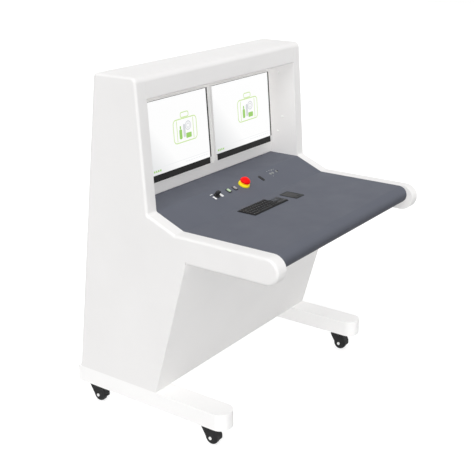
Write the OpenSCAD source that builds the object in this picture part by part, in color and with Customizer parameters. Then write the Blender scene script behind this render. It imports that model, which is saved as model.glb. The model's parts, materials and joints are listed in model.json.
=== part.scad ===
// Operator console of a baggage x-ray scanner: a folded-sheet workstation on castors.
// Millimetres. X runs to the operator's right, -Y towards the operator, Z up.
// The origin is on the floor, under the middle of the console.

/* [Overall] */
// Width over the outer faces of the side shells
console_w = 1000; // [900:10:1200]
// Depth from the arm tips to the back of the feet
console_d = 888; // [860:2:960]
// Height of the arm tops above the floor
desk_h = 765; // [740:1:800]
// Height of the underside of the feet above the floor
castor_h = 85; // [80:1:95]

/* [Sheet metal] */
// Thickness of the folded sheets
sheet_t = 2; // [1.5:0.1:2.5]
// Seam between neighbouring sheets
seam = 0.3; // [0.2:0.05:0.5]
// Thickness of a side shell
side_t = 50; // [44:1:60]
// Rounding of the shells' outer edges
edge_r = 10; // [6:0.5:12]

/* [Side outline] */
// How far the housing's foot stands in from the back of the feet
back_inset = 12; // [6:1:20]
// How far the back leans forward over its height
back_lean = 143; // [100:1:160]
// Depth of the flat top
top_d = 180; // [170:1:200]
// How far the cheeks' front edges slope back from the top
cheek_lean = 32; // [10:1:50]
// Depth of the sloping control strip
strip_run = 115; // [100:1:130]
// Height of the sloping control strip
strip_rise = 48; // [40:1:56]
// Depth of an arm from top to underside
arm_h = 94; // [84:1:100]
// Distance from the housing's back foot to the top of the knee panel
knee_top_d = 515; // [500:1:530]
// Depth of the housing at its base
base_d = 368; // [350:1:380]
// Radius of the front edge of the top cover
brow_r = 22; // [14:1:30]
// Height of the header above the monitors
header_h = 77; // [70:1:84]

/* [Desk] */
// How far the desk's rolled nose stays behind the arm tips
nose_back = 24; // [15:1:40]
// Radius of the desk's rolled nose
nose_r = 33; // [24:1:38]
// How far the desk's surface lies below the arm tops
desk_drop = 1.5; // [0.5:0.5:4]
// Depth of the flat shelf behind the control strip
shelf_d = 126; // [110:1:140]

/* [Feet] */
// Width of a foot
foot_w = 88; // [80:1:100]
// Height of a foot
foot_h = 63; // [50:1:66]
// Distance from the arm tips to the front of a foot
foot_back = 212; // [190:2:240]
// Corner radius of a foot's front end, seen from above
foot_r = 40; // [30:1:40]
// Wall of a foot
foot_wall = 3; // [2:0.5:4]

/* [Castors] */
// Wheel diameter
wheel_d = 52; // [46:1:54]
// Wheel width
wheel_w = 20; // [18:1:22]
// Trail: swivel axis to wheel axis
trail = 24; // [20:1:28]
// Front swivel axis, from the arm tips
front_swivel = 313; // [300:1:330]
// Rear swivel axis, from the back of the feet
rear_swivel = 43; // [35:1:60]
// Diameter of the swivel pin
kingpin_d = 12; // [10:0.5:14]
// Diameter of the threaded stem in the foot
stem_d = 10; // [8:1:12]
// Diameter of the wheel axle
axle_d = 8; // [6:0.5:10]
// Radial running clearance of pins in their bores
run_fit = 0.05; // [0.03:0.01:0.1]

/* [Monitors] */
// Gap between a case and the cheek beside it
case_margin = 47; // [40:1:60]
// Gap between the cases and the header above them
case_top_gap = 33.3; // [20:0.1:50]
// Height of a picture
picture_h = 258; // [240:1:300]
// Width of the frame to the left of a picture
bezel_left = 10; // [2:0.5:14]
// Width of the frame to the right of a picture
bezel_right = 11; // [5:0.5:14]
// Width of the frame above a picture
bezel_top = 4; // [3:0.5:6]
// Height of the black strip below the picture
chin_h = 24; // [18:1:28]
// Gap between the two cases
case_gap = 16; // [10:1:20]
// How far the picture plane stands in front of the panel
case_proud = 38; // [20:1:40]
// Depth of a case with its back bulge
case_d = 58; // [50:1:62]
// Height of the lower edge of the pictures above the shelf
picture_up = 84; // [70:1:90]
// Lean of the monitors, top to the back
tilt = 4.45; // [2:0.05:6]

/* [Controls] */
// Emergency stop, centre across
estop_x = 20; // [0:1:40]
// Diameter of the emergency stop's mushroom
estop_d = 40; // [34:1:44]
// Travel of the emergency stop
estop_travel = 5; // [3:0.5:6]
// Key switch, centre across
key_x = -150; // [-200:1:-130]
// First push button, centre across
button_x = -78; // [-90:1:-70]
// Distance between the push buttons
button_pitch = 39; // [32:1:44]
// Travel of a push button
button_travel = 3; // [2:0.5:4]
// Service port, centre across
port_x = 132; // [110:1:160]
// Status lamps, centre across
lamp_x = 200; // [190:1:240]
// Row of controls, up the strip from its lower fold
control_v = 90; // [80:1:92]

/* [Keyboard] */
// Left edge of the keyboard
kb_x = -172; // [-220:1:-160]
// Back edge of the keyboard, in front of the strip's lower fold
kb_back = 22; // [16:1:40]
// Pitch of the keys
key_pitch = 15; // [14:0.5:16]
// Columns of the main key mat
kb_cols = 11; // [8:1:11]
// Rows of the main key mat
kb_rows = 5; // [4:1:5]
// Travel of a belt key
belt_travel = 2.5; // [1.5:0.5:3]
// Back edge of the touch pad, in front of the strip's lower fold
pad_back = 36; // [20:1:50]
// Left edge of the touch pad
pad_x = 79; // [70:1:120]
// Width of the touch pad
pad_w = 56; // [50:1:70]
// Depth of the touch pad
pad_d = 78; // [70:1:90]
// Travel of a touch pad button
pad_travel = 1; // [0.5:0.1:1.5]

/* [Rear door] */
// Width of the frame around the door
frame_w = 34; // [30:1:45]
// Height of the frame's lower rail
rail_h = 96; // [80:1:120]
// Depth of the folded edges of door and frame
fold_d = 18; // [14:1:20]
// Gap round the door
door_gap = 2; // [1.5:0.5:3]
// Diameter of the hinge knuckles
knuckle_d = 11; // [10:0.5:14]
// Diameter of the hinge pins
pin_d = 6; // [4:0.5:7]
// Vent slots in each row
vent_n = 26; // [16:1:30]

/* [Equipment] */
// Width of the computer
pc_w = 178; // [160:1:200]
// Depth of the computer
pc_d = 270; // [240:1:275]
// Height of the computer
pc_h = 350; // [300:1:360]
// Width of the power unit
psu_w = 210; // [180:1:240]
// Depth of the power unit
psu_d = 150; // [130:1:180]
// Height of the power unit
psu_h = 92; // [80:1:110]

/* [Hidden] */
$fn = 64;

// Points on each rounded corner of a folded outline
arc_n = 7;
// Rings on the rolled edge of a side shell
roll_n = 5;

half_w = console_w / 2;
inner_x = half_w - side_t;
front_y = -console_d / 2;
back_y = console_d / 2;
base_y = back_y - back_inset;
base_z = castor_h + foot_h;
under_z = desk_h - arm_h;
strip_z = desk_h + strip_rise;
shelf_z = strip_z - desk_drop;
// The housing is as high as its displays ask
header_z = shelf_z + picture_up + (picture_h + bezel_top) * cos(tilt) + case_top_gap;
top_h = header_z + header_h;
top_back_y = base_y - back_lean;
top_front_y = top_back_y - top_d;
cheek_y = top_front_y - cheek_lean;
crease_y = cheek_y - strip_run;
knee_y = base_y - knee_top_d;
knee_base_y = base_y - base_d;
lean = atan(back_lean / (top_h - base_z));
strip_a = atan(strip_rise / strip_run);
desk_z = desk_h - desk_drop;
nose_y = front_y + nose_back;
panel_y = cheek_y + shelf_d;
knee_slope = (knee_base_y - knee_y) / (under_z - base_z);
lap = sheet_t + seam;
knee_lap = lap / cos(atan(knee_slope));

bay_w = 2 * (inner_x - seam);
header_y = top_front_y - cheek_lean * header_h / (top_h - strip_z);
case_w = (bay_w - case_gap) / 2 - case_margin;
picture_w = case_w - bezel_left - bezel_right;
picture_x = (bezel_left - bezel_right) / 2;
case_h = picture_h + chin_h + bezel_top;
picture_y = panel_y + picture_up * tan(tilt) - case_proud / cos(tilt);

// Overlap of a control's flange on the desk
flange = 2.5;
// Height of a flange above the desk
flange_h = 1.5;
// Clearance round a key or button in its well
well_gap = 0.3;
barrel_r = 11;
key_barrel_r = 9.4;
key_plug_r = 5.5;
button_body = [12.6, 18.6];
button_cap = [10, 16];
port_body = [9, 28];
lamp_r = 4.5;
// Places of the status lamps, from the first one
lamp_places = [0, 16, 44];

// Rim of the key mat round its keys
mat_edge = 1.5;
mat_w = kb_cols * key_pitch + 2 * mat_edge;
mat_d = kb_rows * key_pitch + 2 * mat_edge;
mat_depth = 12;
// Width and depth of one belt key with its share of the rim
belt_cell = [15.6, 26.5];
belt_block = [3 * belt_cell[0] + mat_edge, 2 * belt_cell[1] + 2 * mat_edge];
belt_wall = 1.2;
belt_well = mat_depth - 2;
// Room left under a belt key at the end of its travel
belt_rest = 1.5;
// The dished top of a belt key
dish_r = 31;
dish = 0.8;
pad_y = crease_y - pad_back - pad_d / 2;
pad_button = [pad_w / 2 - 4, 15];

// How far the monitor panel reaches up behind the header
panel_rise = 22;
// Depth of the monitor panel's folded lips
panel_lip = 31;
// Height of the bottom pan's folded lips
pan_lip = 22;
// Monitor bracket: width, mounting plate, ears, and the run of its cranks
bracket_w = 60;
bracket_plate = 120;
bracket_ear = 22;
crank_out = 13;
crank_in = 8;
// Depth of the knee panel's folded lips
lip_d = 30;
// Gap between the end of a shell's rolled edge and the knee panel
relief = 3;

// Where the equipment stands, across
pc_x = -inner_x + 60 + pc_w / 2;
psu_x = inner_x - 60 - psu_w / 2;
// Radius of the cable entry in the bottom pan
cable_hole_r = 20;

// The rear door's opening, across and up the back
tail_h = 26;
frame_h = (top_h - tail_h - base_z) / cos(lean) - seam;
opening_w = bay_w - 2 * frame_w;
opening_h = frame_h - rail_h - frame_w;
hinge_x = -opening_w / 2 + door_gap / 2;
hinge_y = knuckle_d / 2 + seam + 0.1;
latch_x = opening_w / 2 - 40;
latch_z = rail_h + opening_h / 2;
knuckle_h = 18;

swivel_x = half_w - foot_w / 2;
fork_top = castor_h - 5 - seam;
fork_w = wheel_w + 10;
wheel_r = wheel_d / 2;

function knee_at(z) = knee_y + (under_z - z) * knee_slope;
function back_at(z) = base_y - (z - base_z) * tan(lean);
function panel_at(z) = panel_y + (z - shelf_z) * tan(tilt);

// ---- folded outlines -------------------------------------------------------------------

function unit(v) = v / norm(v);
function left_of(v) = [-v[1], v[0]];
function turn(a, b) = a[0] * b[1] - a[1] * b[0];
function spin(v, a) = [v[0] * cos(a) - v[1] * sin(a), v[0] * sin(a) + v[1] * cos(a)];

// The points of corner i of an outline of [y, z, radius], moved d to the left of its course
function corner(pts, i, d) =
    let (n = len(pts),
         p = [pts[i][0], pts[i][1]],
         before = pts[(i + n - 1) % n],
         after = pts[(i + 1) % n],
         a = unit(p - [before[0], before[1]]),
         b = unit([after[0], after[1]] - p),
         moved = p + d * (left_of(a) + left_of(b)) / (1 + a * b),
         side = sign(turn(a, b)),
         r = max(pts[i][2] - side * d, 0.01),
         angle = acos(min(1, a * b)),
         start = moved - a * r * tan(angle / 2),
         centre = start + left_of(a) * side * r)
    [for (k = [0:arc_n]) centre + spin(start - centre, side * angle * k / arc_n)];

// The end of an open course, moved d to its left
function course_end(pts, i, j, d) =
    let (p = [pts[i][0], pts[i][1]],
         q = [pts[j][0], pts[j][1]],
         along = unit(i < j ? q - p : p - q))
    [p + d * left_of(along)];

// A closed outline with rounded corners, shrunk by d when it runs anticlockwise
function closed_course(pts, d = 0) = [for (i = [0:len(pts) - 1]) each corner(pts, i, d)];

// An open course with rounded folds, moved d to its left
function open_course(pts, d = 0) =
    let (last = len(pts) - 1)
    [for (i = [0:last])
        each (i == 0 ? course_end(pts, 0, 1, d)
            : i == last ? course_end(pts, last, last - 1, d)
            : corner(pts, i, d))];

function reversed(pts) = [for (i = [len(pts) - 1:-1:0]) pts[i]];

// The section of a sheet that follows a course, its thickness to the left
function sheet_section(pts, t) = concat(open_course(pts), reversed(open_course(pts, t)));

// Spreads a drawing of [y, z] over x from -w/2 to w/2
module across(w) {
    translate([-w / 2, 0, 0])
        rotate([90, 0, 90])
            linear_extrude(w)
                children();
}

module folded(pts, w, t = sheet_t) {
    across(w)
        polygon(sheet_section(pts, t));
}

// A flat plate with round corners, its lower face at z = 0
module plate(w, d, h, r) {
    linear_extrude(h)
        round_rect(w, d, r);
}

// Extrudes a drawing of [x, z] from y = y0 back to y = y1
module upright(y0, y1) {
    translate([0, y1, 0])
        rotate([90, 0, 0])
            linear_extrude(y1 - y0)
                children();
}

module round_rect(w, d, r) {
    union() {
        square([w - 2 * r, d], center = true);
        square([w, d - 2 * r], center = true);
        for (x = [-1, 1], y = [-1, 1])
            translate([x * (w / 2 - r), y * (d / 2 - r)])
                circle(r);
    }
}

// Places: the control strip, the desk, the back and the monitors
module on_strip(x, v) {
    translate([x, crease_y, desk_z])
        rotate([strip_a, 0, 0])
            translate([0, v, 0])
                children();
}

module on_back() {
    translate([0, base_y, base_z])
        rotate([lean, 0, 0])
            children();
}

module on_monitors() {
    translate([0, picture_y, shelf_z + picture_up])
        rotate([-tilt, 0, 0])
            children();
}

module on_both_sides() {
    for (s = [-1, 1])
        translate([s * (case_w + case_gap) / 2, 0, 0])
            children();
}

// ---- side shells -----------------------------------------------------------------------

// The console's side, anticlockwise from the foot of the back to the knee panel, as
// [y, z, radius]
side_points = [
    [base_y, base_z],
    [top_back_y, top_h, 14],
    [top_front_y, top_h, brow_r],
    [cheek_y, strip_z, 8],
    [crease_y, desk_h, 16],
    [front_y, desk_h, arm_h / 2 - 0.1],
    [front_y, under_z, arm_h / 2 - 0.1],
    [knee_y, under_z]
];

// The side's course shrunk by d. It starts on the foot and ends just before the knee panel.
function side_ring(d) = concat(
    [[base_y - d / cos(lean), base_z]],
    [for (i = [1:len(side_points) - 2]) each corner(side_points, i, d)],
    [[knee_at(under_z + d) + knee_lap - relief, under_z + d]]
);

// Rings [distance from the outer face, shrink] round the outside and back up the inside
shell_rings = concat(
    [for (k = [0:roll_n])
        let (a = 90 * k / roll_n)
        [edge_r * (1 - cos(a)), edge_r * (1 - sin(a))]],
    [[side_t, 0], [side_t, sheet_t]],
    [for (k = [0:roll_n])
        let (a = 90 * k / roll_n, r = edge_r - sheet_t)
        [edge_r - r * sin(a), edge_r - r * cos(a)]]
);

// The triangles from one corner over a row of others
function fan(apex, ids) = [for (i = [0:len(ids) - 2]) [apex, ids[i], ids[i + 1]]];

// One pressed sheet: a flat face, a rolled edge and a flange, open at the foot and knee
module side_shell_right() {
    rings = [for (ring = shell_rings)
        [for (p = side_ring(ring[1])) [half_w - ring[0], p[0], p[1]]]];
    count = len(rings[0]);
    last = len(rings) - 1;
    end = count - 1;
    fold = 4 * (arc_n + 1);
    knee_out = len(rings) * count;
    knee_in = knee_out + 1;
    heel_out = knee_in + 1;
    heel_in = heel_out + 1;
    corners = [for (z = [under_z + edge_r, base_z], x = [half_w, half_w - sheet_t])
        [x, knee_at(z) + knee_lap, z]];
    // The flat face: one fan up the back to the strip's fold, one along the arm
    flat = concat(
        fan(0, concat([for (k = [1:fold]) k], [knee_out, heel_out])),
        fan(fold, concat([for (k = [fold + 1:end]) k], [knee_out]))
    );
    outer_face = [for (t = flat) [t[2], t[1], t[0]]];
    inner_face = [for (t = flat) [for (k = t) k < count ? last * count + k : k + 1]];
    walls = [for (i = [0:last - 1], k = [0:end - 1])
        let (a = i * count + k)
        each [[a, a + 1, a + 1 + count], [a, a + 1 + count, a + count]]];
    foot_face = [for (k = [0:roll_n])
        [k * count, (k + 1) * count, (last - k - 1) * count, (last - k) * count]];
    roll_face = [for (q = foot_face) [q[3] + end, q[2] + end, q[1] + end, q[0] + end]];
    edges = [
        [0, last * count, heel_in, heel_out],
        [end, knee_out, knee_in, last * count + end],
        [knee_in, knee_out, heel_out, heel_in]
    ];
    color("whitesmoke")
        polyhedron(
            concat([for (ring = rings) each ring], corners),
            concat(walls, outer_face, inner_face, foot_face, roll_face, edges),
            convexity = 10
        );
}

module side_shell_left() {
    mirror([1, 0, 0])
        side_shell_right();
}

// The plate that closes a shell along its cheek and arm
module cheek_liner_right() {
    color("whitesmoke")
        translate([inner_x, 0, 0])
            rotate([90, 0, 90])
                linear_extrude(sheet_t)
                    intersection() {
                        polygon(side_ring(lap));
                        translate([front_y, under_z + lap])
                            square([console_d, top_h]);
                    }
}

module cheek_liner_left() {
    mirror([1, 0, 0])
        cheek_liner_right();
}

// ---- sheets between the shells ---------------------------------------------------------

module top_cover() {
    tail_z = top_h - tail_h;
    color("whitesmoke")
        folded([
            [back_at(tail_z), tail_z],
            [top_back_y, top_h, 14],
            [top_front_y, top_h, brow_r],
            [header_y, header_z, 4],
            [panel_at(header_z) - seam, header_z, 0]
        ], bay_w);
}

module monitor_panel() {
    panel_head = header_z + panel_rise;
    color("whitesmoke")
        difference() {
            folded([
                [panel_at(panel_head) + panel_lip, panel_head],
                [panel_at(panel_head), panel_head, 4],
                [panel_y, shelf_z, 4],
                [panel_y + panel_lip, shelf_z]
            ], bay_w);
            on_monitors()
                on_both_sides()
                    upright(case_proud - 15, case_proud + 15)
                        case_outline(1);
        }
}

// The desk: shelf, control strip, flat and rolled nose are one folded sheet
module desk_top() {
    pan_z = desk_z - 2 * nose_r;
    color("slategray")
        difference() {
            folded([
                [panel_y + 38, shelf_z],
                [cheek_y, shelf_z, 8],
                [crease_y, desk_z, 16],
                [nose_y, desk_z, nose_r - 0.1],
                [nose_y, pan_z, nose_r - 0.1],
                [knee_at(pan_z) + 34, pan_z]
            ], bay_w);
            on_strip(estop_x, control_v)
                cylinder(h = 20, r = barrel_r + 0.3, center = true);
            on_strip(key_x, control_v)
                cylinder(h = 20, r = key_barrel_r + 0.3, center = true);
            for (i = [0, 1])
                on_strip(button_x + i * button_pitch, control_v)
                    cube([button_body[0] + 0.6, button_body[1] + 0.6, 20], center = true);
            on_strip(port_x, control_v - 4)
                cube([port_body[0] + 0.2, port_body[1] + 0.2, 20], center = true);
            for (x = lamp_places)
                on_strip(lamp_x + x, control_v)
                    cylinder(h = 20, r = lamp_r + 0.1, center = true);
            on_keyboard()
                linear_extrude(20, center = true)
                    mat_plan(flange - 0.4);
            on_pad()
                linear_extrude(20, center = true)
                    round_rect(pad_w - 2 * flange + 0.8, pad_d - 2 * flange + 0.8, 2);
        }
}

module knee_panel() {
    head_z = desk_z - 2 * nose_r;
    color("gainsboro")
        difference() {
            folded([
                [knee_at(head_z) + lip_d - 4, head_z],
                [knee_at(head_z), head_z, 4],
                [knee_at(base_z), base_z, 3],
                [knee_at(base_z) + lip_d, base_z]
            ], console_w - 0.6);
            for (s = [-1, 1])
                translate([s * half_w - side_t - seam, knee_y - arm_h, under_z - seam])
                    cube([2 * (side_t + seam), 2 * arm_h, arm_h]);
            for (s = [-1, 1])
                translate([s * half_w - side_t - seam, knee_base_y + sheet_t * 1.08, base_z - 1])
                    cube([2 * (side_t + seam), 2 * lip_d, lip_d]);
        }
}

module bottom_pan() {
    color("gainsboro")
        difference() {
            folded([
                [knee_at(base_z + pan_lip) + knee_lap + seam, base_z + pan_lip],
                [knee_at(base_z) + knee_lap + seam, base_z + sheet_t, 4],
                [back_at(base_z) - lap, base_z + sheet_t, 3],
                [back_at(base_z + pan_lip) - lap, base_z + pan_lip]
            ], bay_w);
            translate([psu_x - psu_w / 2 - 2 * cable_hole_r, base_y - 110, base_z])
                cylinder(h = 30, r = cable_hole_r, center = true);
        }
}

// ---- back ------------------------------------------------------------------------------

module opening_outline(grow) {
    translate([-opening_w / 2 - grow, rail_h - grow])
        square([opening_w + 2 * grow, opening_h + 2 * grow]);
}

module rear_frame() {
    color("whitesmoke")
        on_back()
            difference() {
                union() {
                    upright(-sheet_t, 0)
                        difference() {
                            translate([-bay_w / 2, 0])
                                square([bay_w, frame_h]);
                            opening_outline(0);
                        }
                    upright(-fold_d, 0)
                        difference() {
                            opening_outline(sheet_t);
                            opening_outline(0);
                        }
                    upright(-fold_d, 0)
                        for (s = [-1, 1])
                            translate([s * (bay_w - sheet_t) / 2 - sheet_t / 2, 26])
                                square([sheet_t, frame_h - 26]);
                }
                on_inlet()
                    upright(-20, 20)
                        square([inlet_body[0] + 0.4, inlet_body[1] + 0.4], center = true);
            }
}

module on_hinges() {
    for (z = [0.12, 0.82])
        translate([hinge_x, hinge_y, rail_h + z * opening_h])
            children();
}

// Leaves welded to the frame, with the two outer knuckles and the pin
module hinge_frame_leaves() {
    color("silver")
        on_back()
            on_hinges() {
                for (z = [0, 2 * knuckle_h + 0.6])
                    translate([0, 0, z]) {
                        cylinder(h = knuckle_h, d = knuckle_d);
                        translate([-knuckle_d, -hinge_y, 0])
                            cube([knuckle_d, sheet_t + 0.5, knuckle_h]);
                    }
                cylinder(h = 3 * knuckle_h + 0.6, d = pin_d);
                translate([-knuckle_d - 14, -hinge_y, 0])
                    cube([18, sheet_t + 0.5, 3 * knuckle_h + 0.6]);
            }
}

module slot(w, h) {
    union() {
        square([w, h - w], center = true);
        for (s = [-1, 1])
            translate([0, s * (h - w) / 2])
                circle(d = w);
    }
}

// The vent slots of the door, in two rows of equal pitch
module vents() {
    slot_pitch = (opening_w - 120) / vent_n;
    for (z = [0.1, 0.88], i = [0:vent_n - 1])
        translate([(i - (vent_n - 1) / 2) * slot_pitch, rail_h + z * opening_h])
            slot(6, 90);
}

module rear_door() {
    color("whitesmoke")
        on_back()
            difference() {
                union() {
                    upright(-sheet_t, 0)
                        difference() {
                            opening_outline(-door_gap);
                            vents();
                        }
                    upright(-fold_d, 0)
                        difference() {
                            opening_outline(-door_gap);
                            opening_outline(-door_gap - sheet_t);
                        }
                    on_hinges()
                        translate([0, 0, knuckle_h + 0.3]) {
                            cylinder(h = knuckle_h, d = knuckle_d);
                            translate([0, -hinge_y, 0])
                                cube([24, sheet_t + 0.5, knuckle_h]);
                        }
                }
                on_hinges()
                    cylinder(h = 4 * knuckle_h, d = pin_d + 2 * run_fit);
                translate([latch_x, 0, latch_z])
                    rotate([90, 0, 0])
                        cylinder(h = 60, r = 10 + run_fit, center = true);
            }
}

// Quarter-turn latch: slotted head, barrel and the cam that reaches behind the frame
module door_latch() {
    color("silver")
        on_back()
            translate([latch_x, 0, latch_z])
                rotate([90, 0, 0])
                    difference() {
                        union() {
                            translate([0, 0, -4])
                                cylinder(h = 4 - seam, r = 14);
                            translate([0, 0, -1])
                                cylinder(h = fold_d + 5, r = 10);
                            translate([0, 0, fold_d + 4])
                                linear_extrude(3)
                                    union() {
                                        circle(12);
                                        translate([-8, 0])
                                            square([16, 54]);
                                    }
                        }
                        translate([0, 0, -4])
                            cube([3, 18, 3], center = true);
                    }
}

inlet_body = [27, 20];
inlet_depth = 26;

module on_inlet() {
    translate([bay_w / 2 - 130, 0, rail_h / 2])
        children();
}

// The appliance inlet: flange, body and three pins in the open recess
module power_inlet() {
    color("dimgray")
        on_back()
            on_inlet() {
                difference() {
                    union() {
                        upright(0, 3)
                            round_rect(50, 24, 4);
                        upright(-inlet_depth, 1)
                            square(inlet_body, center = true);
                    }
                    upright(-17, 4)
                        round_rect(24.4, 16.6, 2);
                }
                for (p = [[-7, -2], [0, 3], [7, -2]])
                    translate([p[0] - 1, -17.5, p[1] - 2])
                        cube([2, 11, 4]);
            }
}

// ---- feet and castors ------------------------------------------------------------------

module foot_plan(inset) {
    x0 = half_w - foot_w + inset;
    y0 = front_y + foot_back + inset;
    r = foot_r - inset;
    w = foot_w - 2 * inset;
    union() {
        translate([x0, y0 + r])
            square([w, back_y - inset - y0 - r]);
        translate([x0 + r, y0])
            square([w - 2 * r, r + 1]);
        for (x = [x0 + r, x0 + w - r])
            translate([x, y0 + r])
                circle(r);
    }
}

swivel_ys = [front_y + front_swivel, back_y - rear_swivel];

module foot_right() {
    color("whitesmoke")
        difference() {
            union() {
                difference() {
                    translate([0, 0, castor_h])
                        linear_extrude(foot_h)
                            foot_plan(0);
                    translate([0, 0, castor_h + foot_wall])
                        linear_extrude(foot_h - 2 * foot_wall)
                            foot_plan(foot_wall);
                }
                for (y = swivel_ys)
                    translate([swivel_x, y, castor_h])
                        cylinder(h = foot_h - 1, r = stem_d / 2 + 7);
            }
            for (y = swivel_ys)
                translate([swivel_x, y, castor_h - 1])
                    cylinder(h = stem_h + 3, r = stem_d / 2 + run_fit);
            translate([half_w - foot_w / 2 - 20, (knee_base_y + base_y) / 2, base_z])
                cylinder(h = 20, r = 15, center = true);
        }
}

module foot_left() {
    mirror([1, 0, 0])
        foot_right();
}

stem_h = 30;

module at_castor(side, row) {
    translate([side * swivel_x, swivel_ys[row], 0])
        children();
}

// The fixed half of a castor: threaded stem, flange and riveted kingpin
module castor_stem(side, row) {
    head_z = fork_top - 17;
    color("silver")
        at_castor(side, row) {
            translate([0, 0, castor_h])
                cylinder(h = stem_h, d = stem_d);
            translate([0, 0, castor_h - 5])
                cylinder(h = 5, r = 22);
            translate([0, 0, head_z])
                cylinder(h = castor_h - head_z, d = kingpin_d);
            translate([0, 0, head_z])
                cylinder(h = 2.7, r = kingpin_d / 2 + 3);
        }
}

// The hood's outline beside the wheel, anticlockwise, the trail running to -y
hood_points = [
    [20, fork_top - 10, 5],
    [-trail - wheel_r + 8, fork_top - 10, 12],
    [-trail - wheel_r - 5, wheel_r + 14, 14],
    [-trail - wheel_r - 5, wheel_r - 4, 9],
    [-trail - 6, wheel_r - 15, 12],
    [-trail + 10, wheel_r - 13, 9]
];

module castor_fork(side, row) {
    hollow_w = wheel_w + 3;
    color("dimgray")
        at_castor(side, row)
            difference() {
                union() {
                    across(fork_w)
                        polygon(closed_course(hood_points));
                    translate([0, 0, fork_top - 14])
                        cylinder(h = 14, r = 20);
                }
                across(hollow_w)
                    polygon(closed_course(hood_points, 3));
                translate([0, -trail, wheel_r])
                    rotate([0, 90, 0])
                        cylinder(h = hollow_w, r = wheel_r + 2, center = true);
                translate([-hollow_w / 2, -trail - wheel_r - 2, 0])
                    cube([hollow_w, 2 * wheel_r + 4, wheel_r]);
                translate([0, 0, fork_top - 30])
                    cylinder(h = 40, r = kingpin_d / 2 + run_fit);
                translate([0, 0, fork_top - 30])
                    cylinder(h = 16, r = kingpin_d / 2 + 4);
                translate([0, -trail, wheel_r])
                    rotate([0, 90, 0])
                        cylinder(h = 2 * fork_w, r = axle_d / 2 + run_fit, center = true);
            }
}

module castor_axle(side, row) {
    color("gainsboro")
        at_castor(side, row)
            translate([0, -trail, wheel_r])
                rotate([0, 90, 0]) {
                    cylinder(h = fork_w + 4, d = axle_d, center = true);
                    for (s = [-1, 1])
                        translate([0, 0, s * (fork_w / 2 + 1)])
                            cylinder(h = 2, r = axle_d / 2 + 2, center = true);
                }
}

// A wheel turned from one outline: hub, dished side, shoulder and crowned tread
module castor_wheel(side, row) {
    bore = axle_d / 2 + run_fit;
    color("black")
        at_castor(side, row)
            translate([0, -trail, wheel_r])
                rotate([0, 90, 0])
                    rotate_extrude()
                        polygon([
                            [bore, -wheel_w / 2], [bore + 4, -wheel_w / 2],
                            [bore + 5, -wheel_w / 2 + 2.5], [wheel_r - 8, -wheel_w / 2 + 2.5],
                            [wheel_r - 7, -wheel_w / 2], [wheel_r - 3, -wheel_w / 2],
                            [wheel_r - 0.8, -wheel_w / 2 + 2], [wheel_r, -wheel_w / 4],
                            [wheel_r, wheel_w / 4], [wheel_r - 0.8, wheel_w / 2 - 2],
                            [wheel_r - 3, wheel_w / 2], [wheel_r - 7, wheel_w / 2],
                            [wheel_r - 8, wheel_w / 2 - 2.5], [bore + 5, wheel_w / 2 - 2.5],
                            [bore + 4, wheel_w / 2], [bore, wheel_w / 2]
                        ]);
}

// ---- monitors --------------------------------------------------------------------------

module case_outline(grow) {
    translate([0, picture_h / 2 + (bezel_top - chin_h) / 2])
        round_rect(case_w + 2 * grow, case_h + 2 * grow, 6);
}

module monitor_case(side) {
    box_d = case_proud + 8;
    middle = picture_h / 2 + (bezel_top - chin_h) / 2;
    color("dimgray")
        on_monitors()
            translate([side * (case_w + case_gap) / 2, 0, 0])
                difference() {
                    union() {
                        upright(0, box_d)
                            case_outline(0);
                        hull() {
                            upright(box_d - 1, box_d)
                                translate([0, middle])
                                    round_rect(case_w - 24, case_h - 24, 10, $fn = 24);
                            upright(case_d - 1, case_d)
                                translate([0, middle])
                                    round_rect(case_w - 90, case_h - 90, 10, $fn = 24);
                        }
                    }
                    upright(-1, glass_t)
                        translate([picture_x - picture_w / 2, 0])
                            square([picture_w, picture_h]);
                }
}

glass_t = 1.6;

module monitor_glass(side) {
    color("white")
        on_monitors()
            translate([side * (case_w + case_gap) / 2, 0, 0])
                upright(0.1, glass_t)
                    translate([picture_x - picture_w / 2 + 0.1, 0.1])
                        square([picture_w - 0.2, picture_h - 0.2]);
}

// A cranked strap behind each case, fixed to the panel above and below it
module monitor_bracket(side) {
    strap_t = 3;
    back = case_d + strap_t;
    foot = case_proud + sheet_t + strap_t;
    low = -chin_h;
    high = picture_h + bezel_top;
    color("silver")
        on_monitors()
            translate([side * (case_w + case_gap) / 2, 0, 0]) {
                folded([
                    [foot, low - crank_out - bracket_ear],
                    [foot, low - crank_out, 4],
                    [back, low + crank_in, 6],
                    [back, high - crank_in, 6],
                    [foot, high + crank_out, 4],
                    [foot, high + crank_out + bracket_ear]
                ], bracket_w, strap_t);
                upright(case_d, back)
                    translate([0, (low + high) / 2])
                        round_rect(bracket_plate, bracket_plate, 8);
            }
}

// ---- keyboard and touch pad ------------------------------------------------------------

module on_keyboard() {
    translate([kb_x, crease_y - kb_back, desk_z])
        children();
}

module on_pad() {
    translate([pad_x + pad_w / 2, pad_y, desk_z])
        children();
}

// Key field and belt-key block, seen from above, from the field's back left corner
module mat_plan(inset) {
    union() {
        translate([inset, -mat_d + inset])
            square([mat_w - 2 * inset, mat_d - 2 * inset]);
        translate([mat_w / 2, -mat_d + inset])
            square([mat_w / 2 + belt_block[0] - inset, belt_block[1] - 2 * inset]);
    }
}

// Widths of the keys of each row, from the back, in key pitches
plain_row = [for (i = [1:kb_cols]) 1];
space_row = concat([for (i = [1:3]) 1], [kb_cols - 6], [for (i = [1:3]) 1]);

function sum_to(v, i) = i == 0 ? 0 : v[i - 1] + sum_to(v, i - 1);

// The sloping section of one key, from a to b
module key_section(a, b) {
    gap = 0.9;
    slope = 1;
    polygon([
        [a + gap, 0], [b - gap, 0], [b - gap - slope, key_h], [a + gap + slope, key_h]
    ]);
}

key_h = 3.2;

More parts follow.
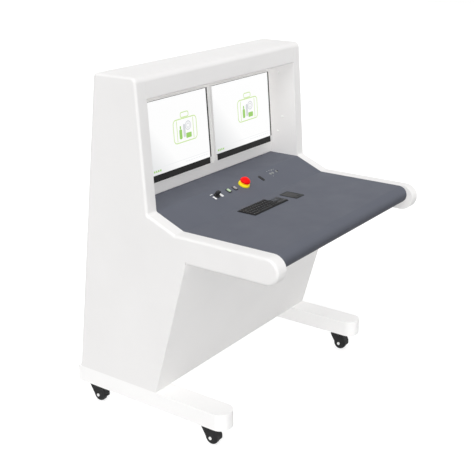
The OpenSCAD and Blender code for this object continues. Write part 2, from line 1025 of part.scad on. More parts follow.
// A row of keys is where its cross section meets the section of its columns
module key_row(row, widths) {
    y1 = -mat_edge - row * key_pitch;
    intersection() {
        upright(-mat_d, 0)
            for (i = [0:len(widths) - 1])
                key_section(mat_edge + sum_to(widths, i) * key_pitch,
                    mat_edge + sum_to(widths, i + 1) * key_pitch);
        across(4 * mat_w)
            key_section(y1 - key_pitch, y1);
    }
}

// The belt keys' wells, numbered from the back left
module at_belt_key(i) {
    translate([mat_w + (i % 3 + 0.5) * belt_cell[0],
        -mat_d + mat_edge + (1.5 - floor(i / 3)) * belt_cell[1], 0])
        children();
}

// The sealed key mat: rim, plug and domed keys in one moulding
module keyboard_mat() {
    color("black")
        on_keyboard()
            difference() {
                union() {
                    linear_extrude(flange_h)
                        mat_plan(0);
                    translate([0, 0, -mat_depth])
                        linear_extrude(mat_depth + 1)
                            mat_plan(flange);
                    for (row = [0:kb_rows - 1])
                        translate([0, 0, flange_h - 0.01])
                            key_row(row, row == kb_rows - 1 ? space_row : plain_row);
                }
                for (i = [0:5])
                    at_belt_key(i)
                        translate([0, 0, -belt_well])
                            plate(belt_cell[0] - belt_wall, belt_cell[1] - belt_wall,
                                2 * belt_well, 1.5);
            }
}

module belt_key(number) {
    w = belt_cell[0] - belt_wall - 2 * well_gap;
    d = belt_cell[1] - belt_wall - 2 * well_gap;
    low = belt_travel + belt_rest - belt_well;
    high = flange_h + key_h;
    color("darkslategray")
        on_keyboard()
            at_belt_key(number - 1)
                difference() {
                    translate([0, 0, low])
                        plate(w, d, high - low, 1.3);
                    translate([0, 0, high + dish_r - dish])
                        rotate([0, 90, 90])
                            cylinder(h = 2 * d, r = dish_r, center = true);
                }
}

module on_pad_button(side) {
    translate([side * (pad_button[0] / 2 + 0.8), -pad_d / 2 + flange + pad_button[1] / 2 + 1, 0])
        children();
}

module touch_pad() {
    color("dimgray")
        on_pad()
            difference() {
                union() {
                    plate(pad_w, pad_d, flange_h, 4);
                    translate([0, 0, -10])
                        plate(pad_w - 2 * flange, pad_d - 2 * flange, 11, 2);
                }
                translate([0, 8, flange_h - 0.5])
                    plate(pad_w - 6, pad_d - 26, 2, 2);
                for (s = [-1, 1])
                    on_pad_button(s)
                        translate([0, 0, -7])
                            plate(pad_button[0], pad_button[1], 20, 1.5);
            }
}

module touch_button(side) {
    color("gray")
        on_pad()
            on_pad_button(side)
                translate([0, 0, -5])
                    plate(pad_button[0] - 2 * well_gap, pad_button[1] - 2 * well_gap,
                        5 + flange_h + 0.3 + pad_travel / 2, 1.2);
}

// ---- controls on the strip -------------------------------------------------------------

estop_collar_r = 22.5;
estop_collar_h = 8;
estop_rest = estop_collar_h + estop_travel + 0.6;
estop_stem_r = 8;
estop_pin_r = 5;
estop_head_h = 18;

module emergency_stop_base() {
    color("gold")
        on_strip(estop_x, control_v)
            difference() {
                union() {
                    rotate_extrude()
                        polygon([
                            [0, 0], [estop_collar_r, 0], [estop_collar_r, estop_collar_h - 4],
                            [estop_collar_r - 1, estop_collar_h - 1.5],
                            [estop_collar_r - 3, estop_collar_h], [0, estop_collar_h]
                        ]);
                    translate([0, 0, -36])
                        cylinder(h = 37, r = barrel_r);
                }
                translate([0, 0, -32])
                    cylinder(h = 60, r = estop_stem_r + run_fit);
            }
}

module emergency_stop_plunger() {
    color("silver")
        on_strip(estop_x, control_v) {
            translate([0, 0, -24])
                cylinder(h = 24 + estop_rest - seam, r = estop_stem_r);
            cylinder(h = estop_rest + estop_head_h - 6, r = estop_pin_r);
        }
}

// The mushroom: a skirt, a lip that turns into the dome, and the bore for the plunger's pin
module emergency_stop_button() {
    r = estop_d / 2;
    lip = 2.5;
    crown_r = r + 2;
    crown_a = asin((r - lip) / (crown_r - lip));
    crown_mid = estop_head_h - crown_r;
    lip_z = crown_mid + (crown_r - lip) * cos(crown_a);
    lip_arc = [for (k = [0:3])
        let (a = (90 - crown_a) * k / 3)
        [r - lip + lip * cos(a), lip_z + lip * sin(a)]];
    crown = [for (k = [1:10])
        let (a = crown_a * (1 - k / 10))
        [crown_r * sin(a), crown_mid + crown_r * cos(a)]];
    bore_r = estop_pin_r + run_fit;
    color("red")
        on_strip(estop_x, control_v)
            translate([0, 0, estop_rest])
                rotate_extrude()
                    polygon(concat(
                        [[bore_r, 0], [r - 1.5, 0], [r, 1.8]],
                        lip_arc,
                        crown,
                        [[0, estop_head_h - 5], [bore_r, estop_head_h - 5]]
                    ));
}

module key_switch_body() {
    color("black")
        on_strip(key_x, control_v)
            difference() {
                union() {
                    rotate_extrude()
                        polygon([[0, 0], [12.5, 0], [12.5, 2], [11, 4], [0, 4]]);
                    translate([0, 0, -26])
                        cylinder(h = 27, r = key_barrel_r);
                }
                translate([0, 0, -22])
                    cylinder(h = 40, r = key_plug_r + run_fit);
            }
}

// The plug with its key: a moulded head on the blade
module key_switch_key() {
    color("black")
        on_strip(key_x, control_v) {
            translate([0, 0, -20])
                cylinder(h = 24.6, r = key_plug_r);
            difference() {
                upright(-4.5, 4.5)
                    union() {
                        translate([-4.5, 4])
                            square([9, 6]);
                        translate([0, 13])
                            round_rect(22, 15, 7);
                    }
                translate([0, 0, 16.5])
                    rotate([90, 0, 0])
                        cylinder(h = 20, r = 1.8, center = true);
            }
        }
}

module on_button(i) {
    on_strip(button_x + i * button_pitch, control_v)
        children();
}

module button_bezels() {
    color("dimgray")
        for (i = [0, 1])
            on_button(i)
                difference() {
                    union() {
                        plate(button_body[0] + 4, button_body[1] + 4, 2, 3);
                        translate([0, 0, -16])
                            plate(button_body[0], button_body[1], 17, 2);
                    }
                    translate([0, 0, -14])
                        plate(button_cap[0] + 2 * well_gap, button_cap[1] + 2 * well_gap, 30, 1.8);
                }
}

module push_button(i) {
    color("ghostwhite")
        on_button(i)
            translate([0, 0, -10])
                plate(button_cap[0], button_cap[1], 12 + button_travel - 0.5, 1.5);
}

module service_port() {
    color("dimgray")
        on_strip(port_x, control_v - 4)
            difference() {
                union() {
                    plate(port_body[0] + 4, port_body[1] + 4, 1.6, 5);
                    translate([0, 0, -8])
                        plate(port_body[0], port_body[1], 9, 3);
                }
                translate([0, 0, 0.8])
                    plate(4, port_body[1] - 8, 3, 1.9);
            }
}

module status_lamps() {
    color("lightgray")
        for (x = lamp_places)
            on_strip(lamp_x + x, control_v)
                rotate_extrude()
                    polygon(concat(
                        [[0, -12], [lamp_r, -12], [lamp_r, 0], [lamp_r + 1.5, 0],
                         [lamp_r + 1.5, 1], [lamp_r, 1.4]],
                        [for (k = [1:6]) [lamp_r * cos(k * 15), 1.4 + 2 * sin(k * 15)]]
                    ));
}

// ---- equipment behind the rear door ----------------------------------------------------

pan_top = base_z + 2 * sheet_t;
pc_foot = 8;
pc_back_y = back_at(pan_top + pc_foot + pc_h) - fold_d - 12;

module computer() {
    color("dimgray")
        translate([pc_x, pc_back_y - pc_d / 2, pan_top])
            difference() {
                union() {
                    translate([0, 0, pc_foot])
                        plate(pc_w, pc_d, pc_h, 5);
                    for (x = [-1, 1], y = [-1, 1])
                        translate([x * (pc_w / 2 - 22), y * (pc_d / 2 - 28), 0])
                            cylinder(h = pc_foot + 1, r = 11);
                }
                for (i = [0:13])
                    translate([0, pc_d / 2, pc_foot + 200 + i * 9])
                        cube([pc_w - 50, 4, 4], center = true);
                translate([-pc_w / 2 + 42, pc_d / 2, pc_foot + 110])
                    cube([46, 6, 150], center = true);
                for (i = [0:9])
                    translate([pc_w / 2, 30 - i * 10, pc_foot + pc_h / 2])
                        cube([4, 5, 160], center = true);
            }
}

module power_unit() {
    color("silver")
        translate([psu_x, back_at(pan_top + psu_h) - fold_d - 30 - psu_d / 2, pan_top])
            difference() {
                plate(psu_w, psu_d, psu_h, 3);
                for (i = [0:11])
                    translate([(i - 5.5) * 14, 0, psu_h])
                        cube([6, psu_d - 50, 4], center = true);
                translate([0, psu_d / 2, psu_h / 2])
                    cube([psu_w - 60, 4, 36], center = true);
            }
}

side_shell_left();
side_shell_right();
cheek_liner_left();
cheek_liner_right();
top_cover();
monitor_panel();
desk_top();
knee_panel();
bottom_pan();
rear_frame();
hinge_frame_leaves();
rear_door();
door_latch();
foot_left();
foot_right();
castor_stem(-1, 0);  // castor_stem_front_left
castor_stem(1, 0);  // castor_stem_front_right
castor_stem(-1, 1);  // castor_stem_rear_left
castor_stem(1, 1);  // castor_stem_rear_right
castor_fork(-1, 0);  // castor_fork_front_left
castor_fork(1, 0);  // castor_fork_front_right
castor_fork(-1, 1);  // castor_fork_rear_left
castor_fork(1, 1);  // castor_fork_rear_right
castor_axle(-1, 0);  // castor_axle_front_left
castor_axle(1, 0);  // castor_axle_front_right
castor_axle(-1, 1);  // castor_axle_rear_left
castor_axle(1, 1);  // castor_axle_rear_right
castor_wheel(-1, 0);  // castor_wheel_front_left
castor_wheel(1, 0);  // castor_wheel_front_right
castor_wheel(-1, 1);  // castor_wheel_rear_left
castor_wheel(1, 1);  // castor_wheel_rear_right
monitor_case(-1);  // monitor_case_left
monitor_case(1);  // monitor_case_right
monitor_glass(-1);  // monitor_glass_left
monitor_glass(1);  // monitor_glass_right
monitor_bracket(-1);  // monitor_bracket_left
monitor_bracket(1);  // monitor_bracket_right
keyboard_mat();
belt_key(1);  // belt_key_1
belt_key(2);  // belt_key_2
belt_key(3);  // belt_key_3
belt_key(4);  // belt_key_4
belt_key(5);  // belt_key_5
belt_key(6);  // belt_key_6
touch_pad();
touch_button(-1);  // touch_button_left
touch_button(1);  // touch_button_right
emergency_stop_base();
emergency_stop_plunger();
emergency_stop_button();
key_switch_body();
key_switch_key();
button_bezels();
push_button(0);  // push_button_left
push_button(1);  // push_button_right
service_port();
status_lamps();
computer();
power_unit();
power_inlet();
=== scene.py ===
# %% [markdown]
# # The operator console of a baggage scanner
# The console is a workstation of folded sheet steel on four castors. Two displays stand in
# a recess above a blue-grey desk, and the desk carries a sealed keyboard, a touch pad, a key
# switch, two push buttons and an emergency stop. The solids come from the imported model, so
# this lesson is about finishes, small parts, light and the camera.

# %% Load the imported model
import json
import math
import bpy
import bmesh
from mathutils import Matrix, Vector
from mathutils.bvhtree import BVHTree


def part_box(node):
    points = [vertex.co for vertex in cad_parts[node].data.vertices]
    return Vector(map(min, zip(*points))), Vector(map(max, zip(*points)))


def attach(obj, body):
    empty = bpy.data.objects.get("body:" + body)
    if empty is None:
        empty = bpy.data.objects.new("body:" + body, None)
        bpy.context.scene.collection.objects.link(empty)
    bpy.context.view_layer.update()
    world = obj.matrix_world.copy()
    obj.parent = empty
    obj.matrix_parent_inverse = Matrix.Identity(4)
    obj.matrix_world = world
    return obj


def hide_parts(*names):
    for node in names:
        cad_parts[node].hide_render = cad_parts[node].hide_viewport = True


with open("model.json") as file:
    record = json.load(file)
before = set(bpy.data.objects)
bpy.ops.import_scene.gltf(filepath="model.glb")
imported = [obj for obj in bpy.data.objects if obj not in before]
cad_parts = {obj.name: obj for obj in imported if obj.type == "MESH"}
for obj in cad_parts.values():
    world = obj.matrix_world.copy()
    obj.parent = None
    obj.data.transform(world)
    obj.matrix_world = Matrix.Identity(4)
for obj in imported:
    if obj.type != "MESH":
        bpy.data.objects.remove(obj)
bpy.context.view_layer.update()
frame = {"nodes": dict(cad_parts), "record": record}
nodes = frame["nodes"]
MM = 0.001
SIDES = ("left", "right")

# %% [markdown]
# ## Camera
# The object is seen from its left front, a little above the desk. A long lens from three
# metres away keeps the upright edges nearly parallel. The camera comes first, because every
# later choice of detail is judged through it.

# %% Set the camera
camera_data = bpy.data.cameras.new("front_left_camera")
camera_data.lens = 70.86
camera_data.sensor_width = 36
camera_data.clip_end = 60
camera = bpy.data.objects.new("front_left_camera", camera_data)
camera.location = (-2.740, -1.872, 1.801)
camera.rotation_euler = (math.radians(70.15), 0, math.radians(-54.81))
bpy.context.scene.collection.objects.link(camera)
bpy.context.scene.camera = camera
print("camera", round(camera_data.lens, 2), "mm, from", [round(v, 2) for v in camera.location])

# %% [markdown]
# ## Light, floor and background
# White paint shows its form only by small steps of grey. An even white room alone would
# turn the display recess and the knee space dark, so the room gives about half of the
# light. A soft key lamp from the upper left lays the shadows, and two fill lamps that cast
# none light the front and the back. The fills don't shine in gloss, or they would burn out
# the tops. Together they make tops brighter than sides and sides brighter than fronts. All
# are suns with a wide angle, because a sun lights every part of a large object alike. Rays
# from the camera, and those that mirror or pass glass, see a room of plain white.


# %% Helper that links nodes, for every tree below
def link_all(tree, *pairs):
    """Links each pair, an output first and then the input that it feeds."""
    for source, target in pairs:
        tree.links.new(source, target)


# %% Light the room
world = bpy.data.worlds.new("white_room")
world.use_nodes = True
bpy.context.scene.world = world
room = world.node_tree
room.nodes.clear()
room_light = room.nodes.new("ShaderNodeBackground")
room_light.inputs["Color"].default_value = (0.985, 0.99, 1.0, 1)
room_light.inputs["Strength"].default_value = 0.46
room_white = room.nodes.new("ShaderNodeBackground")
room_white.inputs["Color"].default_value = (1, 1, 1, 1)
room_white.inputs["Strength"].default_value = 1.0
room_path = room.nodes.new("ShaderNodeLightPath")
room_mix = room.nodes.new("ShaderNodeMixShader")
room_out = room.nodes.new("ShaderNodeOutputWorld")
seen = room.nodes.new("ShaderNodeMath")
seen.operation = "MAXIMUM"
seen_more = room.nodes.new("ShaderNodeMath")
seen_more.operation = "MAXIMUM"
link_all(room,
         (room_path.outputs["Is Camera Ray"], seen.inputs[0]),
         (room_path.outputs["Is Transmission Ray"], seen.inputs[1]),
         (seen.outputs[0], seen_more.inputs[0]),
         (room_path.outputs["Is Glossy Ray"], seen_more.inputs[1]),
         (seen_more.outputs[0], room_mix.inputs["Fac"]),
         (room_light.outputs[0], room_mix.inputs[1]),
         (room_white.outputs[0], room_mix.inputs[2]),
         (room_mix.outputs[0], room_out.inputs["Surface"]))
print("room", round(room_light.inputs["Strength"].default_value, 2), "of white")

# %% Set up the lamps
LAMP_ANGLE = math.radians(35)


def soft_lamp(name, towards, shadow):
    """A wide sun that stands towards that vector, whose length is the light that it gives."""
    data = bpy.data.lights.new(name, "SUN")
    data.energy = math.pi * Vector(towards).length
    data.angle = LAMP_ANGLE
    data.use_shadow = shadow
    lamp = bpy.data.objects.new(name, data)
    lamp.visible_glossy = shadow
    lamp.rotation_mode = "QUATERNION"
    lamp.rotation_quaternion = Vector(towards).to_track_quat("Z", "Y")
    bpy.context.scene.collection.objects.link(lamp)
    return lamp


lamps = [soft_lamp("key_lamp", (-0.15, -0.06, 0.19), True),
         soft_lamp("front_fill", (-0.335, -0.315, 0.375), False),
         soft_lamp("back_fill", (0.36, 0.38, 0.0), False)]
bpy.context.scene.view_settings.view_transform = "Standard"
print("lamps", {lamp.name: round(lamp.data.energy, 2) for lamp in lamps})

# %% Lay the floor
FLOOR_REACH = 14.0
FLOOR_LIFT = 0.42
floor_mesh = bpy.data.meshes.new("floor")
floor_mesh.from_pydata(
    [(x * FLOOR_REACH, y * FLOOR_REACH, 0) for x, y in ((-1, -1), (1, -1), (1, 1), (-1, 1))],
    [], [(0, 1, 2, 3)])
floor = bpy.data.objects.new("floor", floor_mesh)
bpy.context.scene.collection.objects.link(floor)
floor_finish = bpy.data.materials.new("floor_white")
floor_finish.use_nodes = True
floor_tree = floor_finish.node_tree
floor_bsdf = floor_tree.nodes["Principled BSDF"]
floor_bsdf.inputs["Base Color"].default_value = (0.7, 0.7, 0.7, 1)
floor_bsdf.inputs["Roughness"].default_value = 0.9
floor_bsdf.inputs["Specular IOR Level"].default_value = 0.0
floor_bsdf.inputs["Emission Color"].default_value = (1, 1, 1, 1)
floor_path = floor_tree.nodes.new("ShaderNodeLightPath")
lift = floor_tree.nodes.new("ShaderNodeMath")
lift.operation = "MULTIPLY"
lift.inputs[1].default_value = FLOOR_LIFT
link_all(floor_tree,
         (floor_path.outputs["Is Camera Ray"], lift.inputs[0]),
         (lift.outputs[0], floor_bsdf.inputs["Emission Strength"]))
floor_mesh.materials.append(floor_finish)
print("floor", 2 * FLOOR_REACH, "m square")

# %% [markdown]
# ## Finishes
# A finish here is one Principled shader with three small patterns: a drift of the colour, a
# drift of the roughness, and a grain in the surface. All read Object coordinates in metres,
# so a pattern has its real size on every part. Powder coat is an orange peel of shallow
# bumps about 1 to 3 mm apart, moulded plastic is a finer spark-eroded grain, and zinc plate is
# drawn out along one direction. The desk's finish darkens with depth below the desk top,
# which is painted shade on its rolled nose.


# %% A material to start from
def start_finish(name, colour, rough, metal=0.0, gloss=0.5):
    """A new material with the values that are the same all over it."""
    m = bpy.data.materials.new(name)
    m.use_nodes = True
    bsdf = m.node_tree.nodes["Principled BSDF"]
    bsdf.inputs["Base Color"].default_value = (*colour, 1)
    bsdf.inputs["Roughness"].default_value = rough
    bsdf.inputs["Metallic"].default_value = metal
    bsdf.inputs["Specular IOR Level"].default_value = gloss
    return m


# %% Patterns in the colour, the gloss and the surface
def pattern(m, size, detail=2.0, stretch=(1, 1, 1)):
    """Noise with features of that size in metres, longer where stretch is small."""
    tree = m.node_tree
    coords = tree.nodes.new("ShaderNodeTexCoord")
    place = tree.nodes.new("ShaderNodeMapping")
    place.inputs["Scale"].default_value = stretch
    noise = tree.nodes.new("ShaderNodeTexNoise")
    noise.inputs["Scale"].default_value = 1 / size
    noise.inputs["Detail"].default_value = detail
    link_all(tree,
             (coords.outputs["Object"], place.inputs["Vector"]),
             (place.outputs["Vector"], noise.inputs["Vector"]))
    return noise.outputs["Fac"]


def drift_colour(m, light, dark, size):
    """Lets the colour wander between two values over that distance."""
    tree = m.node_tree
    ramp = tree.nodes.new("ShaderNodeValToRGB")
    ramp.color_ramp.elements[0].position = 0.3
    ramp.color_ramp.elements[0].color = (*dark, 1)
    ramp.color_ramp.elements[1].position = 0.7
    ramp.color_ramp.elements[1].color = (*light, 1)
    link_all(tree,
             (pattern(m, size, 3.0), ramp.inputs["Fac"]),
             (ramp.outputs["Color"], tree.nodes["Principled BSDF"].inputs["Base Color"]))


def drift_gloss(m, low, high, size):
    """Lets the roughness wander, as handling and cleaning leave it."""
    tree = m.node_tree
    span = tree.nodes.new("ShaderNodeMapRange")
    span.inputs["From Min"].default_value = 0.3
    span.inputs["From Max"].default_value = 0.7
    span.inputs["To Min"].default_value = low
    span.inputs["To Max"].default_value = high
    link_all(tree,
             (pattern(m, size, 3.0), span.inputs["Value"]),
             (span.outputs["Result"], tree.nodes["Principled BSDF"].inputs["Roughness"]))


def grain(m, size, depth, strength=1.0, stretch=(1, 1, 1)):
    """Adds a layer of bumps of that size and depth, over those already there."""
    tree = m.node_tree
    bsdf = tree.nodes["Principled BSDF"]
    bump = tree.nodes.new("ShaderNodeBump")
    bump.inputs["Strength"].default_value = strength
    bump.inputs["Distance"].default_value = depth
    tree.links.new(pattern(m, size, 2.0, stretch), bump.inputs["Height"])
    if bsdf.inputs["Normal"].is_linked:
        tree.links.new(bsdf.inputs["Normal"].links[0].from_socket, bump.inputs["Normal"])
    tree.links.new(bump.outputs["Normal"], bsdf.inputs["Normal"])


def tint(colour, by):
    """The same colour, lighter or darker."""
    return tuple(c * by for c in colour)


# %% Painted sheet
def powder_coat(name, colour, rough, gloss=0.25):
    """Baked powder paint: an orange peel with a fine grit in it."""
    m = start_finish(name, colour, rough, gloss=gloss)
    drift_colour(m, tint(colour, 1.01), tint(colour, 0.985), 0.22)
    drift_gloss(m, rough - 0.05, rough + 0.07, 0.09)
    grain(m, 0.0026, 0.00012, 0.35)
    grain(m, 0.0007, 0.00004, 0.35)
    return m


shell_white = powder_coat("powder_coat_white", (0.800, 0.790, 0.782), 0.46)
# Painted light: the knee panel and the bottom pan are the shells' white, painted lighter to
# stand for light that the lamps don't bring under the desk.
knee_white_painted_light = powder_coat("powder_coat_white_knee_painted_light", (0.850, 0.840, 0.830), 0.5)
# Painted light: the feet are the shells' white, painted lighter to stand for light that the
# lamps don't bring near the floor.
foot_white_painted_light = powder_coat("powder_coat_white_foot_painted_light", (0.895, 0.888, 0.880), 0.46)
panel_white = powder_coat("powder_coat_white_strip", (0.820, 0.822, 0.800), 0.5)
desk_grey_nose_shaded = powder_coat("powder_coat_desk_grey_nose_shaded", (0.114, 0.121, 0.146), 0.62, 0.12)
computer_black = powder_coat("powder_coat_black", (0.030, 0.030, 0.033), 0.5)


def darker_below(m, high, low, by):
    """Lets the colour fall to a share of itself between two heights."""
    tree = m.node_tree
    bsdf = tree.nodes["Principled BSDF"]
    coords = tree.nodes.new("ShaderNodeTexCoord")
    split = tree.nodes.new("ShaderNodeSeparateXYZ")
    fall = tree.nodes.new("ShaderNodeMapRange")
    fall.interpolation_type = "SMOOTHSTEP"
    fall.inputs["From Min"].default_value = low
    fall.inputs["From Max"].default_value = high
    fall.inputs["To Min"].default_value = by
    fall.inputs["To Max"].default_value = 1.0
    shade = tree.nodes.new("ShaderNodeVectorMath")
    shade.operation = "SCALE"
    link_all(tree,
             (coords.outputs["Object"], split.inputs["Vector"]),
             (split.outputs["Z"], fall.inputs["Value"]),
             (bsdf.inputs["Base Color"].links[0].from_socket, shade.inputs[0]),
             (fall.outputs["Result"], shade.inputs["Scale"]),
             (shade.outputs["Vector"], bsdf.inputs["Base Color"]))


# Painted shade: the desk's colour falls to two thirds of itself down the rolled nose.
nose_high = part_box("keyboard_mat")[0].z
nose_deep = 30 * MM
NOSE_SHADE_SHARE = 0.66
darker_below(desk_grey_nose_shaded, nose_high, nose_high - nose_deep, NOSE_SHADE_SHARE)
print("painted:", [m.name for m in (shell_white, knee_white_painted_light, foot_white_painted_light,
                                  panel_white, desk_grey_nose_shaded, computer_black)])

# %% Zinc plate
zinc = start_finish("zinc_plate", (0.60, 0.61, 0.62), 0.34, metal=1.0)
drift_colour(zinc, (0.66, 0.66, 0.66), (0.52, 0.54, 0.57), 0.012)
drift_gloss(zinc, 0.26, 0.44, 0.02)
grain(zinc, 0.0008, 0.00003, 0.4, (1, 1, 0.08))
print("plated:", zinc.name)


# %% Plastics and rubber
def moulded(name, colour, rough, grain_size=0.0006, grain_depth=0.00005, gloss=0.5):
    """Moulded plastic with the texture of its mould."""
    m = start_finish(name, colour, rough, gloss=gloss)
    drift_colour(m, tint(colour, 1.08), tint(colour, 0.93), 0.03)
    drift_gloss(m, max(rough - 0.06, 0.05), rough + 0.06, 0.025)
    grain(m, grain_size, grain_depth, 0.5)
    return m


castor_nylon = moulded("nylon_black", (0.018, 0.018, 0.019), 0.46, gloss=0.2)
castor_tread = moulded("tread_black", (0.020, 0.020, 0.020), 0.62, 0.0012, 0.00012)
axle_cap = moulded("cap_white", (0.82, 0.82, 0.81), 0.3, 0.001, 0.00002)
key_rubber = moulded("key_mat_black", (0.016, 0.016, 0.017), 0.6, 0.0004, 0.00004, 0.25)
key_plastic = moulded("key_black", (0.020, 0.020, 0.021), 0.45, 0.0005, 0.00005, 0.3)
key_grey = moulded("key_grey", (0.058, 0.062, 0.072), 0.5, 0.0005, 0.00005, 0.2)
pad_plastic = moulded("pad_dark_grey", (0.031, 0.032, 0.033), 0.55, 0.0005, 0.00005, 0.15)
pad_film = moulded("pad_film_grey", (0.057, 0.057, 0.058), 0.6, 0.0004, 0.00001, 0.15)
stop_yellow = moulded("collar_yellow", (0.90, 0.76, 0.02), 0.45, 0.001, 0.00003, 0.15)
stop_red = moulded("mushroom_red", (0.86, 0.006, 0.006), 0.42, 0.001, 0.00002, 0.12)
cap_green = moulded("cap_pale_green", (0.47, 0.60, 0.40), 0.3, 0.001, 0.00002)
cap_pale = moulded("cap_pale_grey", (0.36, 0.34, 0.34), 0.35, 0.001, 0.00002, 0.3)
lamp_clear = moulded("lamp_pale", (0.24, 0.25, 0.25), 0.3, 0.001, 0.00002, 0.25)
inlet_black = moulded("inlet_black", (0.025, 0.025, 0.025), 0.45)
lamp_dark = moulded("lamp_unlit", (0.030, 0.032, 0.036), 0.2, 0.001, 0.00002, 0.3)
field_white = moulded("field_white", (0.86, 0.86, 0.85), 0.35, 0.001, 0.00002)
print_grey = moulded("print_pale_grey", (0.36, 0.37, 0.37), 0.5, 0.0006, 0.00001, 0.2)
print_dim = moulded("print_grey", (0.13, 0.13, 0.13), 0.5, 0.0006, 0.00001, 0.2)
print_dark = moulded("print_black", (0.020, 0.020, 0.021), 0.5, 0.0006, 0.00001, 0.2)
print("materials in the scene:", len(bpy.data.materials))

# %% [markdown]
# ## The displays' two-coloured cases
# The strip below each picture and a fine line above it are the black front of the display.
# The wider black band to the right of the picture is painted shade: it stands for the shaded
# gap at the picture's right edge. The rest of the case is as white as the panel round it. One
# material serves both colours. It measures how far a point lies behind the picture's plane,
# and how far outside the picture, and turns white there.

# %% Planes of the pictures
DISPLAY_TILT = math.radians(4.45)
glass_low, glass_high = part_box("monitor_glass_left")
case_low, case_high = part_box("monitor_case_left")
picture_w = glass_high.x - glass_low.x
picture_left = {"left": glass_low.x, "right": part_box("monitor_glass_right")[0].x}
plane_low = glass_low.z
picture_h = (glass_high.z - glass_low.z) / math.cos(DISPLAY_TILT)
plane_y = case_low.y + (plane_low - case_low.z) * math.tan(DISPLAY_TILT)


def on_picture(side):
    """Picture axes: x across, y up, z towards the operator, from its lower left corner."""
    corner = (picture_left[side], plane_y, plane_low)
    return Matrix.Translation(corner) @ Matrix.Rotation(math.pi / 2 - DISPLAY_TILT, 4, "X")


print("picture", round(picture_w / MM, 1), "x", round(picture_h / MM, 1), "mm")

# %% Two-coloured case
CASE_WHITE = (0.74, 0.73, 0.72, 1)
BAND_LEFT = 0.2 * MM
# Painted shade: the wide black band right of each picture stands for the shaded gap at its
# edge.
SHADE_BAND_RIGHT = 7.5 * MM
BAND_ABOVE = 1.6 * MM
BAND_BELOW = 0.5 * MM
CHIN_SHORT = 1.0 * MM
FRONT_DEEP = 1.4 * MM
chin_start = {"left": 0.0, "right": 7.0 * MM}


def display_case(name, side):
    """Black round the picture and on the strip below it, white elsewhere."""
    m = moulded(name, (0.024, 0.024, 0.024), 0.46, 0.0008, 0.00002, 0.10)
    tree = m.node_tree
    bsdf = tree.nodes["Principled BSDF"]
    coords = tree.nodes.new("ShaderNodeTexCoord")
    inwards = on_picture(side).inverted()
    turned = tree.nodes.new("ShaderNodeMapping")
    turned.inputs["Location"].default_value = inwards.to_translation()
    turned.inputs["Rotation"].default_value = inwards.to_euler()
    split = tree.nodes.new("ShaderNodeSeparateXYZ")
    link_all(tree,
             (coords.outputs["Object"], turned.inputs["Vector"]),
             (turned.outputs["Vector"], split.inputs["Vector"]))

    def work_out(operation, first, second):
        node = tree.nodes.new("ShaderNodeMath")
        node.operation = operation
        for socket, value in zip(node.inputs, (first, second)):
            if isinstance(value, float):
                socket.default_value = value
            else:
                tree.links.new(value, socket)
        return node.outputs[0]

    across, up, out = split.outputs["X"], split.outputs["Y"], split.outputs["Z"]
    black = work_out("GREATER_THAN", across, -BAND_LEFT)
    for more in (work_out("LESS_THAN", across, picture_w + SHADE_BAND_RIGHT),
                 work_out("LESS_THAN", up, picture_h + BAND_ABOVE),
                 work_out("GREATER_THAN", up, -BAND_BELOW)):
        black = work_out("MULTIPLY", black, more)
    chin = work_out("LESS_THAN", up, BAND_BELOW)
    for more in (work_out("GREATER_THAN", across, chin_start[side]),
                 work_out("LESS_THAN", across, picture_w - CHIN_SHORT)):
        chin = work_out("MULTIPLY", chin, more)
    black = work_out("MAXIMUM", black, chin)
    black = work_out("MULTIPLY", black, work_out("GREATER_THAN", out, -FRONT_DEEP))
    white = work_out("SUBTRACT", 1.0, black)
    mix = tree.nodes.new("ShaderNodeMix")
    mix.data_type = "RGBA"
    mix.inputs["B"].default_value = CASE_WHITE
    link_all(tree,
             (white, mix.inputs["Factor"]),
             (bsdf.inputs["Base Color"].links[0].from_socket, mix.inputs["A"]),
             (mix.outputs["Result"], bsdf.inputs["Base Color"]))
    return m


case_left = display_case("case_black_and_white_left", "left")
case_right = display_case("case_black_and_white_right", "right")
print("cases:", case_left.name, case_right.name)

# %% [markdown]
# ## The lit picture
# A lit display gives its own light and hardly answers to the lamps. It is an almost white
# emission that greys a little towards the lower left, under a smooth dark cover. The way
# across counts more in that than the way up. What is shown on it glows as strongly.

# %% Lit displays
GLOW = 0.94
SIDEWAYS = 1.6


def lit_display(name, side):
    """A white picture that greys towards its lower left corner."""
    m = start_finish(name, (0.03, 0.03, 0.03), 0.16, gloss=0.25)
    tree = m.node_tree
    bsdf = tree.nodes["Principled BSDF"]
    coords = tree.nodes.new("ShaderNodeTexCoord")
    place = tree.nodes.new("ShaderNodeMapping")
    corner = Vector((picture_left[side], plane_y, plane_low))
    scale = Vector((1 / picture_w, 0, 1 / picture_h))
    place.inputs["Scale"].default_value = scale
    place.inputs["Location"].default_value = (-corner.x * scale.x, 0, -corner.z * scale.z)
    split = tree.nodes.new("ShaderNodeSeparateXYZ")
    add = tree.nodes.new("ShaderNodeMath")
    add.operation = "MULTIPLY_ADD"
    add.inputs[1].default_value = SIDEWAYS
    ramp = tree.nodes.new("ShaderNodeValToRGB")
    ramp.color_ramp.elements[0].position = 0.0
    ramp.color_ramp.elements[0].color = (0.70, 0.71, 0.72, 1)
    ramp.color_ramp.elements[1].position = 0.9
    ramp.color_ramp.elements[1].color = (1.0, 1.0, 1.0, 1)
    link_all(tree,
             (coords.outputs["Object"], place.inputs["Vector"]),
             (place.outputs["Vector"], split.inputs["Vector"]),
             (split.outputs["X"], add.inputs[0]),
             (split.outputs["Z"], add.inputs[2]),
             (add.outputs[0], ramp.inputs["Fac"]),
             (ramp.outputs["Color"], bsdf.inputs["Emission Color"]))
    bsdf.inputs["Emission Strength"].default_value = GLOW
    return m


display_left = lit_display("display_lit_left", "left")
display_right = lit_display("display_lit_right", "right")


